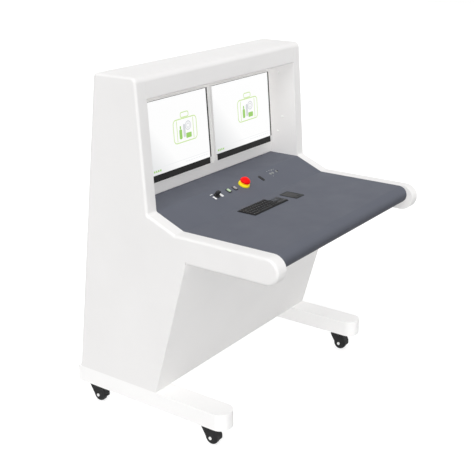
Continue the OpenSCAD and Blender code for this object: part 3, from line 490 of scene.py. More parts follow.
def lit_shape(name, colour):
    """A shape shown on a display: its colour is light of its own."""
    m = start_finish(name, tint(colour, 0.05), 0.16, gloss=0.25)
    bsdf = m.node_tree.nodes["Principled BSDF"]
    drift_colour(m, tint(colour, 0.06), tint(colour, 0.04), 0.01)
    glow = m.node_tree.nodes.new("ShaderNodeValToRGB")
    glow.color_ramp.elements[0].color = (*tint(colour, 0.96), 1)
    glow.color_ramp.elements[1].color = (*tint(colour, 1.03), 1)
    link_all(m.node_tree,
             (pattern(m, 0.03), glow.inputs["Fac"]),
             (glow.outputs["Color"], bsdf.inputs["Emission Color"]))
    bsdf.inputs["Emission Strength"].default_value = GLOW
    return m


lit_green = lit_shape("lit_pale_green", (0.60, 0.80, 0.33))
lit_leaf = lit_shape("lit_green", (0.33, 0.62, 0.14))
lit_grey = lit_shape("lit_pale_grey", (0.66, 0.68, 0.70))
lit_bar = lit_shape("lit_bar_grey", (0.84, 0.86, 0.87))
print("display finishes:", [m.name for m in (display_left, display_right, lit_green,
                                            lit_leaf, lit_grey, lit_bar)])

# %% [markdown]
# ## Dressing the solids
# Each solid gets its finish. The curves of the folded sheets are short flats in the solids,
# so a copy of each main sheet is merged and given smooth normals that are weighted by the
# size of the faces: flats stay flat and folds turn round. The copy stands for its node.

# %% Give each node its finish
CASTORS = [row + "_" + side for row in ("front", "rear") for side in SIDES]
finish_of = {
    "side_shell_left": shell_white, "side_shell_right": shell_white,
    "cheek_liner_left": shell_white, "cheek_liner_right": shell_white,
    "top_cover": shell_white, "monitor_panel": shell_white,
    "rear_frame": shell_white, "rear_door": shell_white,
    "foot_left": foot_white_painted_light, "foot_right": foot_white_painted_light,
    "knee_panel": knee_white_painted_light, "bottom_pan": knee_white_painted_light, "desk_top": desk_grey_nose_shaded,
    "hinge_frame_leaves": zinc, "door_latch": zinc, "power_unit": zinc,
    "monitor_bracket_left": zinc, "monitor_bracket_right": zinc,
    "emergency_stop_plunger": zinc,
    "monitor_case_left": case_left, "monitor_case_right": case_right,
    "monitor_glass_left": display_left, "monitor_glass_right": display_right,
    "keyboard_mat": key_rubber, "key_switch_body": key_plastic,
    "key_switch_key": key_plastic, "button_bezels": key_plastic,
    "service_port": key_plastic, "status_lamps": lamp_clear,
    "touch_pad": pad_plastic, "touch_button_left": pad_plastic,
    "touch_button_right": pad_plastic, "emergency_stop_base": stop_yellow,
    "emergency_stop_button": stop_red, "push_button_left": cap_green,
    "push_button_right": cap_pale, "computer": computer_black,
    "power_inlet": inlet_black,
}
for number in range(1, 7):
    finish_of["belt_key_%d" % number] = key_grey if number in (1, 2) else key_plastic
for castor in CASTORS:
    finish_of["castor_stem_" + castor] = zinc
    finish_of["castor_fork_" + castor] = castor_nylon
    finish_of["castor_wheel_" + castor] = castor_tread
    finish_of["castor_axle_" + castor] = axle_cap
for name, node in nodes.items():
    if not node.material_slots:
        node.data.materials.append(finish_of[name])
    for material_slot in node.material_slots:
        material_slot.material = finish_of[name]
print("finished nodes:", len(finish_of), "of", len(nodes))

# %% Which body and slot each node belongs to
body_of_node = {n: b for b, group in frame["record"]["behaviour"]["bodies"].items()
                for n in group}
console = body_of_node["desk_top"]

# %% Smooth copies of the folded sheets
FOLD_ANGLE = math.radians(28)
MERGE = 0.02 * MM
SLIVER = 0.001 * MM


def smooth_copy(name):
    """Stands a merged copy with weighted smooth normals in the place of a node."""
    source = nodes[name].data
    bm = bmesh.new()
    bm.from_mesh(source)
    bmesh.ops.remove_doubles(bm, verts=bm.verts, dist=MERGE)
    bmesh.ops.dissolve_degenerate(bm, edges=bm.edges, dist=SLIVER)
    plain = bpy.data.meshes.new(name + "_dressed")
    bm.verts.index_update()
    plain.from_pydata([v.co[:] for v in bm.verts], [],
                      [[v.index for v in f.verts] for f in bm.faces])
    bm.free()
    plain.materials.append(finish_of[name])
    plain.shade_smooth()
    plain.set_sharp_from_angle(angle=FOLD_ANGLE)
    copy = bpy.data.objects.new(name + "_dressed", plain)
    bpy.context.scene.collection.objects.link(copy)
    weigh = copy.modifiers.new("weigh_normals", "WEIGHTED_NORMAL")
    weigh.keep_sharp = True
    weigh.weight = 100
    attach(copy, body_of_node[name])
    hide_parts(name)


FOLDED = ["side_shell_left", "side_shell_right", "top_cover", "desk_top",
          "monitor_panel", "knee_panel", "foot_left", "foot_right"]
FOLDED += ["castor_fork_" + castor for castor in CASTORS]
for name in FOLDED:
    smooth_copy(name)
print("smoothed sheets and forks:", len(FOLDED))

# %% [markdown]
# ## Making the small pieces
# The small parts of a console are plates, caps and prints. A plate starts as an outline,
# and a cap is the same outline drawn in as it rises, so its edge is round. Print is a very
# thin closed layer. It is drawn flat and then lowered on to the surface that carries it, so
# it follows a dished key or a sloping strip.

# %% Helpers for outlines, plates and caps
LEAST_R = 0.1 * MM
LEAST_HALF_SIDE = 0.01 * MM


def rounded(w, h, r, at=(0, 0), steps=5):
    """The outline of a rectangle with round corners, anticlockwise."""
    r = min(r, w / 2 - LEAST_HALF_SIDE, h / 2 - LEAST_HALF_SIDE)
    points = []
    for cx, cy, start in ((w / 2 - r, h / 2 - r, 0), (r - w / 2, h / 2 - r, 1),
                          (r - w / 2, r - h / 2, 2), (w / 2 - r, r - h / 2, 3)):
        for i in range(steps + 1):
            a = (start + i / steps) * math.pi / 2
            points.append((at[0] + cx + r * math.cos(a), at[1] + cy + r * math.sin(a)))
    return points


def stack_rings(bm, rings):
    """Joins rings of points into one closed skin. All rings have the same count."""
    laid = [[bm.verts.new(p) for p in ring] for ring in rings]
    bm.faces.new(list(reversed(laid[0])))
    bm.faces.new(laid[-1])
    count = len(laid[0])
    for low, high in zip(laid, laid[1:]):
        for i in range(count):
            j = (i + 1) % count
            bm.faces.new((low[i], low[j], high[j], high[i]))


def add_plate(bm, points, low, high):
    """A flat plate with that outline."""
    stack_rings(bm, [[(x, y, z) for x, y in points] for z in (low, high)])


def add_cap(bm, w, h, r, low, high, soft, at=(0, 0), steps=5):
    """A plate with a round upper edge."""
    rings = [[(x, y, low) for x, y in rounded(w, h, r, at, steps)]]
    for i in range(4):
        a = i / 3 * math.pi / 2
        inset = soft * (1 - math.cos(a))
        ring = rounded(w - 2 * inset, h - 2 * inset, max(r - inset, LEAST_R), at, steps)
        rings.append([(x, y, high - soft + soft * math.sin(a)) for x, y in ring])
    stack_rings(bm, rings)


# %% Helpers for print
PRINT_HIGH = 0.04 * MM
RAY_FROM = 80 * MM


def add_words(bm, words, size, at=(0, 0), high=PRINT_HIGH):
    """Generic letters or digits as a thin closed layer, centred on that place."""
    curve = bpy.data.curves.new("letters", "FONT")
    curve.body = words
    curve.size = size
    curve.align_x = "CENTER"
    curve.align_y = "CENTER"
    curve.resolution_u = 2
    curve.extrude = high / 2
    holder = bpy.data.objects.new("letters", curve)
    bpy.context.scene.collection.objects.link(holder)
    shaped = holder.evaluated_get(bpy.context.evaluated_depsgraph_get())
    mesh = bpy.data.meshes.new_from_object(shaped)
    bpy.data.objects.remove(holder)
    bpy.data.curves.remove(curve)
    mesh.transform(Matrix.Translation((at[0], at[1], high / 2)))
    bm.from_mesh(mesh)
    bpy.data.meshes.remove(mesh)


def skin_of(carriers):
    """One search tree over the faces of those nodes, for rays to meet."""
    corners, faces = [], []
    for name in carriers:
        mesh = nodes[name].data
        faces += [[len(corners) + i for i in face.vertices] for face in mesh.polygons]
        corners += [v.co.copy() for v in mesh.vertices]
    return BVHTree.FromPolygons(corners, faces)


def lay_down(bm, place, carriers):
    """Moves a flat print along its own z until it lies on those nodes."""
    skin = skin_of(carriers)
    up = (place.to_3x3() @ Vector((0, 0, 1))).normalized()
    for v in bm.verts:
        foot = place @ Vector((v.co.x, v.co.y, 0))
        hit = skin.ray_cast(foot + up * RAY_FROM, -up)[0]
        v.co = (hit if hit is not None else foot) + up * v.co.z


# %% Helper that keeps a piece
CAP_ANGLE = math.radians(40)


def keep(bm, name, finish, body, place=None, smooth=None):
    """Turns finished mesh work into a piece that rides on a body."""
    if place is not None:
        bm.transform(place)
    bmesh.ops.recalc_face_normals(bm, faces=bm.faces)
    mesh = bpy.data.meshes.new(name)
    bm.to_mesh(mesh)
    bm.free()
    mesh.materials.append(finish)
    if smooth is not None:
        mesh.shade_smooth()
        mesh.set_sharp_from_angle(angle=smooth)
    piece = bpy.data.objects.new(name, mesh)
    bpy.context.scene.collection.objects.link(piece)
    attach(piece, body)


# %% [markdown]
# ## The strip between the displays
# The gap between the two displays is closed by a white strip of folded sheet, flush with
# their fronts, so that nothing falls behind them. It is a U section: a front with two
# flanges that run back to the panel. The section is drawn once and swept up the gap.

# %% Display strip
gap_low = case_high.x
gap_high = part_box("monitor_case_right")[0].x
strip_gap = 0.4 * MM
strip_w = gap_high - gap_low - 2 * strip_gap
strip_deep = 34 * MM
strip_t = 1.2 * MM
strip_sunk = 0.6 * MM
bend = 1.6 * MM
half = strip_w / 2
outer = [(-half, -strip_deep), (half, -strip_deep)]
for side, quarter in ((1, 0), (-1, 1)):
    for i in range(5):
        a = (quarter + i / 4) * math.pi / 2
        outer.append((side * (half - bend) + bend * math.cos(a), -bend + bend * math.sin(a)))
inner = [(-half + strip_t, -strip_deep), (-half + strip_t, -strip_t),
         (half - strip_t, -strip_t), (half - strip_t, -strip_deep)]
section = [outer[0]] + inner + outer[1:]
case_above = 4 * MM
case_h = (case_high.z - case_low.z) / math.cos(DISPLAY_TILT)
chin_h = case_h - picture_h - case_above
bm = bmesh.new()
stack_rings(bm, [[(x, y, depth) for x, depth in section]
                 for y in (-chin_h, picture_h + case_above)])
gap_middle = (gap_low + gap_high) / 2 - picture_left["left"]
place = on_picture("left") @ Matrix.Translation((gap_middle, 0, -strip_sunk))
keep(bm, "display_strip", panel_white, console, place)
print("display strip", round(strip_w / MM, 1), "mm wide")

# %% [markdown]
# ## What the displays show
# The pictures are generic: a pale bag with a bottle, a box, a rod and a coil in it, and a
# row of plain tool squares under it. Each thing is a thin plate with light of its own, a
# little proud of the cover, and the bag's edge is a ring between two outlines. The left
# display's tool row starts further in, because the cheek hides its corner.


# %% Shapes on the displays
def add_ring(bm, w, h, r, line, at, low, high, steps=6):
    """A closed band between a rounded outline and the same outline drawn in."""
    wide = rounded(w, h, r, at, steps)
    slim = rounded(w - 2 * line, h - 2 * line, max(r - line, LEAST_R), at, steps)
    count = len(wide)
    rows = [[bm.verts.new((x, y, z)) for x, y in ring]
            for ring, z in ((wide, low), (wide, high), (slim, high), (slim, low))]
    for a in range(4):
        b = (a + 1) % 4
        for i in range(count):
            j = (i + 1) % count
            bm.faces.new((rows[a][i], rows[a][j], rows[b][j], rows[b][i]))


def show_bag(side, middle, tools_from):
    """One bag and its tool row on that display. The bag is drawn in units of its own, k."""
    place = on_picture(side)
    x, y = middle[0] * picture_w, middle[1] * picture_h
    low, high = 0.02 * MM, 0.25 * MM
    k = 1.42 * MM
    # The bag's edge, its handle and its two straps
    case = bmesh.new()
    add_ring(case, 96 * k, 62 * k, 12 * k, 2.6 * k, (x, y), low, high)
    add_ring(case, 34 * k, 15 * k, 6 * k, 2.4 * k, (x, y + 39 * k), low, high)
    for step in (-1, 1):
        add_plate(case, rounded(2.2 * k, 54 * k, 1 * k, (x + step * 33 * k, y)), low, high)
    keep(case, "shown_bag_" + side, lit_green, console, place)
    # A bottle with its neck, and a box
    things = bmesh.new()
    add_plate(things, rounded(11 * k, 25 * k, 4 * k, (x - 19 * k, y - 9 * k)), low, high)
    add_plate(things, rounded(5 * k, 8 * k, 1 * k, (x - 19 * k, y + 8 * k)), low, high)
    add_plate(things, rounded(22 * k, 13 * k, 2 * k, (x + 13 * k, y - 16 * k)), low, high)
    keep(things, "shown_things_" + side, lit_leaf, console, place)
    # A coil of two turns, and a rod
    wires = bmesh.new()
    add_ring(wires, 24 * k, 24 * k, 12 * k, 2.6 * k, (x + 12 * k, y + 9 * k), low, high)
    add_ring(wires, 13 * k, 13 * k, 6.5 * k, 2 * k, (x + 12 * k, y + 9 * k), low, high)
    add_plate(wires, rounded(9 * k, 34 * k, 4 * k, (x - 4 * k, y - 2 * k)), low, high)
    keep(wires, "shown_wires_" + side, lit_grey, console, place)
    tools = bmesh.new()
    for i in range(4):
        at = ((tools_from + 11 * i) * MM, 13 * MM)
        add_plate(tools, rounded(7 * MM, 7 * MM, 1.2 * MM, at), low, high)
    keep(tools, "shown_tools_" + side, lit_leaf, console, place)
    # The bag's pale inside, the line above the tool row and the fields right of the tools
    bar = bmesh.new()
    add_plate(bar, rounded(93 * k, 59 * k, 11 * k, (x, y)), low, low + 0.06 * MM)
    add_plate(bar, rounded(picture_w - 10 * MM, 1.6 * MM, 0.7 * MM,
                           (picture_w / 2, 23 * MM)), low, high)
    for i in range(9):
        at = (picture_w - (20 + 15 * i) * MM, 14 * MM)
        add_plate(bar, rounded(10 * MM, 3 * MM, 1.2 * MM, at), low, high)
    keep(bar, "shown_bar_" + side, lit_bar, console, place)


show_bag("left", (0.64, 0.50), 52)
show_bag("right", (0.60, 0.52), 16)
print("shapes on each display: 5")

# %% Buttons in the black strips
for side in SIDES:
    bm = bmesh.new()
    for i in range(5):
        at = (picture_w - (30 + 14 * i) * MM, -13 * MM)
        add_cap(bm, 9 * MM, 3.4 * MM, 1.6 * MM, -0.3 * MM, 0.9 * MM, 0.4 * MM, at)
    place = on_picture(side) @ Matrix.Translation((0, 0, -0.8 * MM))
    keep(bm, "display_buttons_" + side, key_plastic, console,
         place, smooth=CAP_ANGLE)
print("display buttons: 5 on each")

# %% [markdown]
# ## Print on the keys, and the plate under them
# The key mat is sealed, and its letters are printed on the caps. They are plain Latin
# letters, digits and signs in even rows. The belt keys carry arrows, a square and a ring
# instead, for back, stop and forward. Their tops are dished, so the print is lowered on to
# them. A plate closes the mat from below, so that no light comes up beside the belt keys.

# %% Letters of the key mat
mat_low, mat_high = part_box("keyboard_mat")
PITCH = 15 * MM
EDGE = 1.5 * MM
LETTER_ACROSS = 0.32
WORD_ACROSS = 0.4
LETTER_DOWN = 0.36
WORD_DOWN = 4.4
key_rows = ["1234567890-", "QWERTYUIOP+", "ASDFGHJKL:=", "ZXCVBNM,./?"]
legends = bmesh.new()
for row, letters in enumerate(key_rows):
    for column, letter in enumerate(letters):
        at = (mat_low.x + EDGE + (column + LETTER_ACROSS) * PITCH,
              mat_high.y - EDGE - (row + LETTER_DOWN) * PITCH)
        add_words(legends, letter, 4.6 * MM, at)
for column, word in ((0, "F1"), (1, "F2"), (2, "F3"), (8, "+"), (9, "-"), (10, "0")):
    at = (mat_low.x + EDGE + (column + WORD_ACROSS) * PITCH,
          mat_high.y - EDGE - WORD_DOWN * PITCH)
    add_words(legends, word, 4.0 * MM, at)
lay_down(legends, Matrix.Translation((0, 0, mat_high.z)), ["keyboard_mat"])
keep(legends, "key_letters", print_grey, console)
print("keys with letters:", sum(len(row) for row in key_rows) + 6)

# %% Backing plate under the key mat
BACKING_PAST = 6 * MM
BACKING_THICK = 2 * MM
BACKING_BELOW = 0.2 * MM
backing = bmesh.new()
add_cap(backing, mat_high.x - mat_low.x + 2 * BACKING_PAST,
        mat_high.y - mat_low.y + 2 * BACKING_PAST, 4 * MM,
        -BACKING_BELOW - BACKING_THICK, -BACKING_BELOW, 0.6 * MM)
mat_middle = ((mat_low.x + mat_high.x) / 2, (mat_low.y + mat_high.y) / 2, mat_low.z)
keep(backing, "keyboard_backing", key_plastic, console,
     Matrix.Translation(mat_middle), smooth=CAP_ANGLE)
print("backing plate under the key mat: 1")

# %% Signs on the belt keys
# Each sign is a direction and a count: arrows that way, or a ring or a square where it is 0.
signs = [(-1, 1), (0, 0), (1, 1), (-1, 2), (0, 1), (1, 2)]
for number, (turn, count) in enumerate(signs, 1):
    key = "belt_key_%d" % number
    low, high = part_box(key)
    middle = ((low.x + high.x) / 2, (low.y + high.y) / 2)
    bm = bmesh.new()
    if turn:
        for i in range(count):
            shift = (i - (count - 1) / 2) * 4.2 * MM
            tip = turn * 2.4 * MM
            tail = -turn * 1.6 * MM
            points = [(shift + tail, -3 * MM), (shift + tip, 0), (shift + tail, 3 * MM)]
            points = points if turn > 0 else list(reversed(points))
            add_plate(bm, points, 0, PRINT_HIGH)
    elif count:
        add_ring(bm, 7 * MM, 7 * MM, 3.4 * MM, 1 * MM, (0, 0), 0, PRINT_HIGH)
    else:
        add_plate(bm, rounded(6.4 * MM, 6.4 * MM, 0.8 * MM), 0, PRINT_HIGH)
    lay_down(bm, Matrix.Translation((*middle, high.z)), [key])
    keep(bm, "belt_sign_%d" % number, print_dim, key)
print("belt keys with a sign:", len(signs))

# %% [markdown]
# ## Touch pad
# The touch pad is a dark frame round a paler film, on which the finger slides. The film is
# a plate with a soft edge that lies on the frame, in front of the frame's back edge and
# behind the two buttons.

# %% Film of the touch pad
pad_low, pad_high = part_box("touch_pad")
frame_side = 4.5 * MM
frame_back = 5 * MM
frame_front = 3 * MM
film_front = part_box("touch_button_left")[1].y + frame_front
film = bmesh.new()
film_w = pad_high.x - pad_low.x - 2 * frame_side
film_h = pad_high.y - frame_back - film_front
add_cap(film, film_w, film_h, 2 * MM, 0, 0.25 * MM, 0.15 * MM)
middle = ((pad_low.x + pad_high.x) / 2, film_front + film_h / 2)
lay_down(film, Matrix.Translation((*middle, pad_high.z)), ["touch_pad"])
keep(film, "pad_film", pad_film, console, smooth=CAP_ANGLE)
print("film", round(film_w / MM, 1), "x", round(film_h / MM, 1), "mm")

# %% [markdown]
# ## Print and inserts on the control strip
# Three white fields stand beside the key switch, and two of them carry the common digits 0
# and 1. Each push button has an insert, white in the first and grey in the second. The
# third lamp of the row is under a dark lens, and small pale marks stand round the lamps.
# They are set out on the strip's own plane: across from the control that they belong to,
# and up the slope from the crease where the desk turns up.

# %% Plane of the control strip
DESK_Z = 763.5 * MM
CREASE_Y = -38 * MM
STRIP_RUN = 115 * MM
STRIP_RISE = 48 * MM
STRIP_SLOPE = math.atan2(STRIP_RISE, STRIP_RUN)
on_strip = (Matrix.Translation((0, CREASE_Y, DESK_Z))
            @ Matrix.Rotation(STRIP_SLOPE, 4, "X"))
print("the strip slopes", round(math.degrees(STRIP_SLOPE), 1), "degrees")


# %% Fields beside the key switch
def middle_x(name):
    """How far across the middle of a node stands."""
    low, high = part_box(name)
    return (low.x + high.x) / 2


CONTROL_UP = 90 * MM
FIELD_HIGH = 0.5 * MM
switch_x = middle_x("key_switch_body")
fields = bmesh.new()
for w, h, x, up in ((9, 17, -20, 84), (12, 18, 21, 85), (15, 2.6, -18, 103.5)):
    add_cap(fields, w * MM, h * MM, 2 * MM, 0, FIELD_HIGH, 0.2 * MM,
            (switch_x + x * MM, up * MM))
keep(fields, "switch_fields", field_white, console, on_strip, smooth=CAP_ANGLE)
digits = bmesh.new()
for digit, x, up in (("0", -20, 84), ("1", 21, 85)):
    add_words(digits, digit, 7 * MM, (switch_x + x * MM, up * MM), 0.05 * MM)
keep(digits, "switch_digits", print_dark, console,
     on_strip @ Matrix.Translation((0, 0, FIELD_HIGH)))
print("fields beside the key switch: 3")

# %% Inserts in the push buttons
INSERT_UP = 85 * MM
INSERT_HIGH = 0.12 * MM
for side, finish in (("left", field_white), ("right", cap_pale)):
    name = "push_button_" + side
    bm = bmesh.new()
    add_plate(bm, rounded(8.2 * MM, 10 * MM, 1.4 * MM), 0, INSERT_HIGH)
    lay_down(bm, on_strip @ Matrix.Translation((middle_x(name), INSERT_UP, 0)), [name])
    keep(bm, "button_insert_" + side, finish, name)
print("button inserts: 2")

# %% Dark lens and the marks round the lamps
lamps_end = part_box("status_lamps")[1].x
lens = bmesh.new()
add_cap(lens, 9 * MM, 9 * MM, 4 * MM, 0, 3.4 * MM, 1.2 * MM,
        (lamps_end - 3.5 * MM, CONTROL_UP))
keep(lens, "lamp_lens", lamp_dark, console, on_strip, smooth=CAP_ANGLE)
marks = bmesh.new()
for x, up, w in ((-50, 108, 5), (-34, 108, 5), (-20, 106, 9), (-7, 106, 5), (-50, 74, 4)):
    outline = rounded(w * MM, 2.6 * MM, 1 * MM, (lamps_end + x * MM, up * MM))
    add_plate(marks, outline, 0, 0.05 * MM)
keep(marks, "lamp_marks", print_grey, console, on_strip)
print("lamp marks: 5")

# %% [markdown]
# ## Emergency stop
# Three raised arrows run round the mushroom, the way it is twisted to let it go. They are
# laid on its dome and turn with it. The collar is yellow, and its barrel below the desk is
# dark.

# %% Raised arrows on the emergency stop
ARROWS = 3
ARROW_HIGH = 0.35 * MM
ARROW_TURN = 1.15
HEAD_TURN = 0.42
inner_r, outer_r = 7.4 * MM, 9.6 * MM
head_inner_r, head_tip_r, head_outer_r = 5.6 * MM, 8.5 * MM, 11.4 * MM
arrows = bmesh.new()
for number in range(ARROWS):
    start = number * 2 * math.pi / ARROWS
    tip = start + ARROW_TURN
    turns = [start + i / 12 * ARROW_TURN for i in range(13)]
    outline = [(outer_r, a) for a in turns]
    outline += [(head_outer_r, tip), (head_tip_r, tip + HEAD_TURN), (head_inner_r, tip)]
    outline += [(inner_r, a) for a in reversed(turns)]
    add_plate(arrows, [(r * math.cos(a), r * math.sin(a)) for r, a in outline],
              0, ARROW_HIGH)
stop_x = middle_x("emergency_stop_button")
stop_place = on_strip @ Matrix.Translation((stop_x, CONTROL_UP, 0))
lay_down(arrows, stop_place, ["emergency_stop_button"])
keep(arrows, "stop_arrows", stop_red, "emergency_stop_button")
print("arrows on the emergency stop:", ARROWS)

# %% Dark barrel under the yellow collar
BARREL_SHARE = 0.04
low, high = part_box("emergency_stop_base")
collar_r = (high.x - low.x) / 2 + 0.5 * MM
collar_foot = stop_place.to_translation().z - collar_r * math.sin(STRIP_SLOPE)
darker_below(stop_yellow, collar_foot, collar_foot - 1 * MM, BARREL_SHARE)
print("collar is yellow down to", round(collar_foot / MM, 1), "mm")

# %% [markdown]
# ## Screws
# Sheet steel furniture is held by many equal screws. They are one Geometry Nodes tree. It
# makes a pan head with a recess by pushing the top face of a disc up, in and down again,
# and sets a head on every point of a small mesh. Each point carries two attributes, the
# way its head looks and its size, so one tree serves screws on every side. A ray finds the
# sheet under each point, so the heads sit on it wherever it leans.

# %% One pan head
HEAD_SIDES = 18
CROWN_RISE = 0.6
CROWN_SHARE = 0.74
RECESS_SHARE = 0.52


def pan_head(tree, given):
    """A disc whose top is raised and drawn in, parted by a ring, and sunk inside it."""
    new = tree.nodes.new
    disc = new("GeometryNodeMeshCylinder")
    disc.inputs["Vertices"].default_value = HEAD_SIDES
    normal = new("GeometryNodeInputNormal")
    split = new("ShaderNodeSeparateXYZ")
    is_top = new("FunctionNodeCompare")
    is_top.data_type = "FLOAT"
    is_top.operation = "GREATER_THAN"
    is_top.inputs["B"].default_value = 0.5
    rise = new("ShaderNodeMath")
    rise.operation = "MULTIPLY"
    rise.inputs[1].default_value = CROWN_RISE
    sink = new("ShaderNodeMath")
    sink.operation = "MULTIPLY"
    sink.inputs[1].default_value = -1.0
    crown = new("GeometryNodeExtrudeMesh")
    crown_in = new("GeometryNodeScaleElements")
    crown_in.inputs["Scale"].default_value = CROWN_SHARE
    rim = new("GeometryNodeExtrudeMesh")
    rim.inputs["Offset Scale"].default_value = 0.0
    rim_in = new("GeometryNodeScaleElements")
    rim_in.inputs["Scale"].default_value = RECESS_SHARE
    recess = new("GeometryNodeExtrudeMesh")
    link_all(tree,
             (given.outputs["Head radius"], disc.inputs["Radius"]),
             (given.outputs["Head height"], disc.inputs["Depth"]),
             (given.outputs["Head height"], rise.inputs[0]),
             (given.outputs["Recess depth"], sink.inputs[0]),
             (normal.outputs["Normal"], split.inputs["Vector"]),
             (split.outputs["Z"], is_top.inputs["A"]),
             (disc.outputs["Mesh"], crown.inputs["Mesh"]),
             (is_top.outputs["Result"], crown.inputs["Selection"]),
             (rise.outputs["Value"], crown.inputs["Offset Scale"]),
             (crown.outputs["Mesh"], crown_in.inputs["Geometry"]),
             (crown.outputs["Top"], crown_in.inputs["Selection"]),
             (crown_in.outputs["Geometry"], rim.inputs["Mesh"]),
             (crown.outputs["Top"], rim.inputs["Selection"]),
             (rim.outputs["Mesh"], rim_in.inputs["Geometry"]),
             (rim.outputs["Top"], rim_in.inputs["Selection"]),
             (rim_in.outputs["Geometry"], recess.inputs["Mesh"]),
             (rim.outputs["Top"], recess.inputs["Selection"]),
             (sink.outputs["Value"], recess.inputs["Offset Scale"]))
    return recess.outputs["Mesh"]


# %% The tree that sets a pan head on every point
def pan_head_tree():
    """Points with an aim and a size go in, and heads that are turned that way come out."""
    tree = bpy.data.node_groups.new("pan_heads", "GeometryNodeTree")
    face = tree.interface
    face.new_socket("Points", in_out="INPUT", socket_type="NodeSocketGeometry")
    for label, value in (("Head radius", 4 * MM), ("Head height", 1.4 * MM),
                         ("Recess depth", 1 * MM)):
        socket = face.new_socket(label, in_out="INPUT", socket_type="NodeSocketFloat")
        socket.default_value = value
    face.new_socket("Finish", in_out="INPUT", socket_type="NodeSocketMaterial")
    face.new_socket("Heads", in_out="OUTPUT", socket_type="NodeSocketGeometry")
    given = tree.nodes.new("NodeGroupInput")
    result = tree.nodes.new("NodeGroupOutput")
    aim = tree.nodes.new("GeometryNodeInputNamedAttribute")
    aim.data_type = "FLOAT_VECTOR"
    aim.inputs["Name"].default_value = "aim"
    size = tree.nodes.new("GeometryNodeInputNamedAttribute")
    size.data_type = "FLOAT"
    size.inputs["Name"].default_value = "size"
    turn = tree.nodes.new("FunctionNodeAlignRotationToVector")
    turn.axis = "Z"
    dots = tree.nodes.new("GeometryNodeInstanceOnPoints")
    real = tree.nodes.new("GeometryNodeRealizeInstances")
    paint = tree.nodes.new("GeometryNodeSetMaterial")
    link_all(tree,
             (given.outputs["Points"], dots.inputs["Points"]),
             (pan_head(tree, given), dots.inputs["Instance"]),
             (aim.outputs["Attribute"], turn.inputs["Vector"]),
             (turn.outputs["Rotation"], dots.inputs["Rotation"]),
             (size.outputs["Attribute"], dots.inputs["Scale"]),
             (dots.outputs["Instances"], real.inputs["Geometry"]),
             (real.outputs["Geometry"], paint.inputs["Geometry"]),
             (given.outputs["Finish"], paint.inputs["Material"]),
             (paint.outputs["Geometry"], result.inputs["Heads"]))
    return tree


pan_heads = pan_head_tree()
print("tree", pan_heads.name, "with", len(pan_heads.nodes), "nodes")

# %% Helpers that place the screws and grow a tree on them
HEAD_PROUD = 0.5 * MM
HEAD_ANGLE = math.radians(35)


def screw_spot(point, aim, carrier, size=1.0, proud=HEAD_PROUD):
    """Place, way and size of a head on the skin of a node that a ray against aim meets."""
    aim = Vector(aim).normalized()
    start = Vector(point) + aim * RAY_FROM
    place, facing = skin_of([carrier]).ray_cast(start, -aim)[:2]
    if facing.dot(aim) < 0:
        facing = -facing
    return place + facing * proud, facing, size


def grow(name, tree, values, spots, body):
    """Runs a tree on points with their aims and sizes, and keeps the result."""
    mesh = bpy.data.meshes.new(name)
    mesh.from_pydata([place[:] for place, aim, size in spots], [], [])
    mesh.attributes.new("aim", "FLOAT_VECTOR", "POINT")
    mesh.attributes.new("size", "FLOAT", "POINT")
    for i, (place, aim, size) in enumerate(spots):
        mesh.attributes["aim"].data[i].vector = aim
        mesh.attributes["size"].data[i].value = size
    piece = bpy.data.objects.new(name, mesh)
    bpy.context.scene.collection.objects.link(piece)
    modifier = piece.modifiers.new(name, "NODES")
    modifier.node_group = tree
    for item in tree.interface.items_tree:
        if item.in_out == "INPUT" and item.name in values:
            modifier[item.identifier] = values[item.name]
    shaped = piece.evaluated_get(bpy.context.evaluated_depsgraph_get())
    baked = bpy.data.meshes.new_from_object(shaped)
    piece.modifiers.clear()
    piece.data = baked
    baked.shade_smooth()
    baked.set_sharp_from_angle(angle=HEAD_ANGLE)
    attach(piece, body)


# %% Screws of the cheeks
CHEEK_IN = 440 * MM
cheek_spots = [screw_spot((way * CHEEK_IN, y * MM, z * MM), (-way, 0, 0),
                          "cheek_liner_" + side, 1.15)
               for way, side in zip((-1, 1), SIDES)
               for y, z in ((172, 1143), (153, 966), (174, 903))]
cheek_values = {"Head radius": 4.2 * MM, "Head height": 1.6 * MM, "Recess depth": 1.1 * MM,
                "Finish": panel_white}
grow("cheek_screws", pan_heads, cheek_values, cheek_spots, console)
print("screws in the cheeks:", len(cheek_spots))

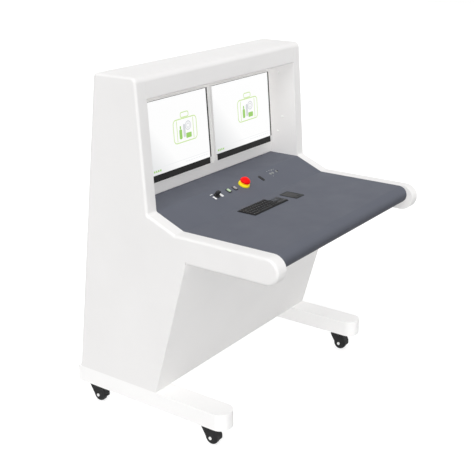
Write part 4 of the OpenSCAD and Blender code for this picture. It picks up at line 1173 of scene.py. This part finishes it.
# %% Plane of the back
# Here x runs across and z up the lean, from the foot of the frame.
BACK_FOOT_Z = 148 * MM
BACK_RUN = 143 * MM
frame_low, frame_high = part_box("rear_frame")
back_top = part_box("top_cover")[1].z
LEAN = math.atan2(BACK_RUN, back_top - BACK_FOOT_Z)
on_back = (Matrix.Translation((0, frame_high.y, BACK_FOOT_Z))
           @ Matrix.Rotation(LEAN, 4, "X"))
back_out = on_back.to_3x3() @ Vector((0, 1, 0))
print("the back leans", round(math.degrees(LEAN), 1), "degrees")

# %% Screws of the back
back_h = (frame_high.z - frame_low.z) / math.cos(LEAN)
stile_x = frame_high.x - 15 * MM
stile_ends = 50 * MM
stile_step = (back_h - 2 * stile_ends) / 5
back_places = [(side * stile_x, stile_ends + i * stile_step)
               for side in (-1, 1) for i in range(6)]
back_places += [(x * MM, up) for x in (-290, -97, 97, 250)
                for up in (46 * MM, back_h - 17 * MM)]
back_spots = [screw_spot(on_back @ Vector((x, 0, up)), back_out, "rear_frame")
              for x, up in back_places]
back_values = {"Head radius": 4.4 * MM, "Head height": 1.6 * MM, "Recess depth": 1.2 * MM,
               "Finish": zinc}
grow("back_screws", pan_heads, back_values, back_spots, console)
print("screws in the back frame:", len(back_spots))

# %% Screws of the displays, the inlet and the hinges
SMALL_PROUD = 0.4 * MM
unit_spots = []
for side in SIDES:
    bracket = "monitor_bracket_" + side
    low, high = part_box(bracket)
    middle = (low + high) / 2
    for x in (-50 * MM, 50 * MM):
        for z in (-50 * MM, 50 * MM):
            spot = (middle.x + x, high.y, middle.z + z)
            unit_spots.append(screw_spot(spot, (0, 1, 0.08), bracket))
low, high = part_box("power_inlet")
for x in (low.x + 4.5 * MM, high.x - 4.5 * MM):
    spot = (x, high.y, (low.z + high.z) / 2)
    unit_spots.append(screw_spot(spot, back_out, "power_inlet", 0.7, SMALL_PROUD))
low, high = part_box("hinge_frame_leaves")
for leaf_z in (low.z + 28 * MM, high.z - 28 * MM):
    for step in (-15 * MM, 15 * MM):
        up = (leaf_z - BACK_FOOT_Z) / math.cos(LEAN) + step
        spot = on_back @ Vector((low.x + 9.5 * MM, 0, up))
        unit_spots.append(screw_spot(spot, back_out, "hinge_frame_leaves", 0.75,
                                     SMALL_PROUD))
grow("unit_screws", pan_heads, back_values, unit_spots, console)
print("screws in the brackets, the inlet and the hinges:", len(unit_spots))
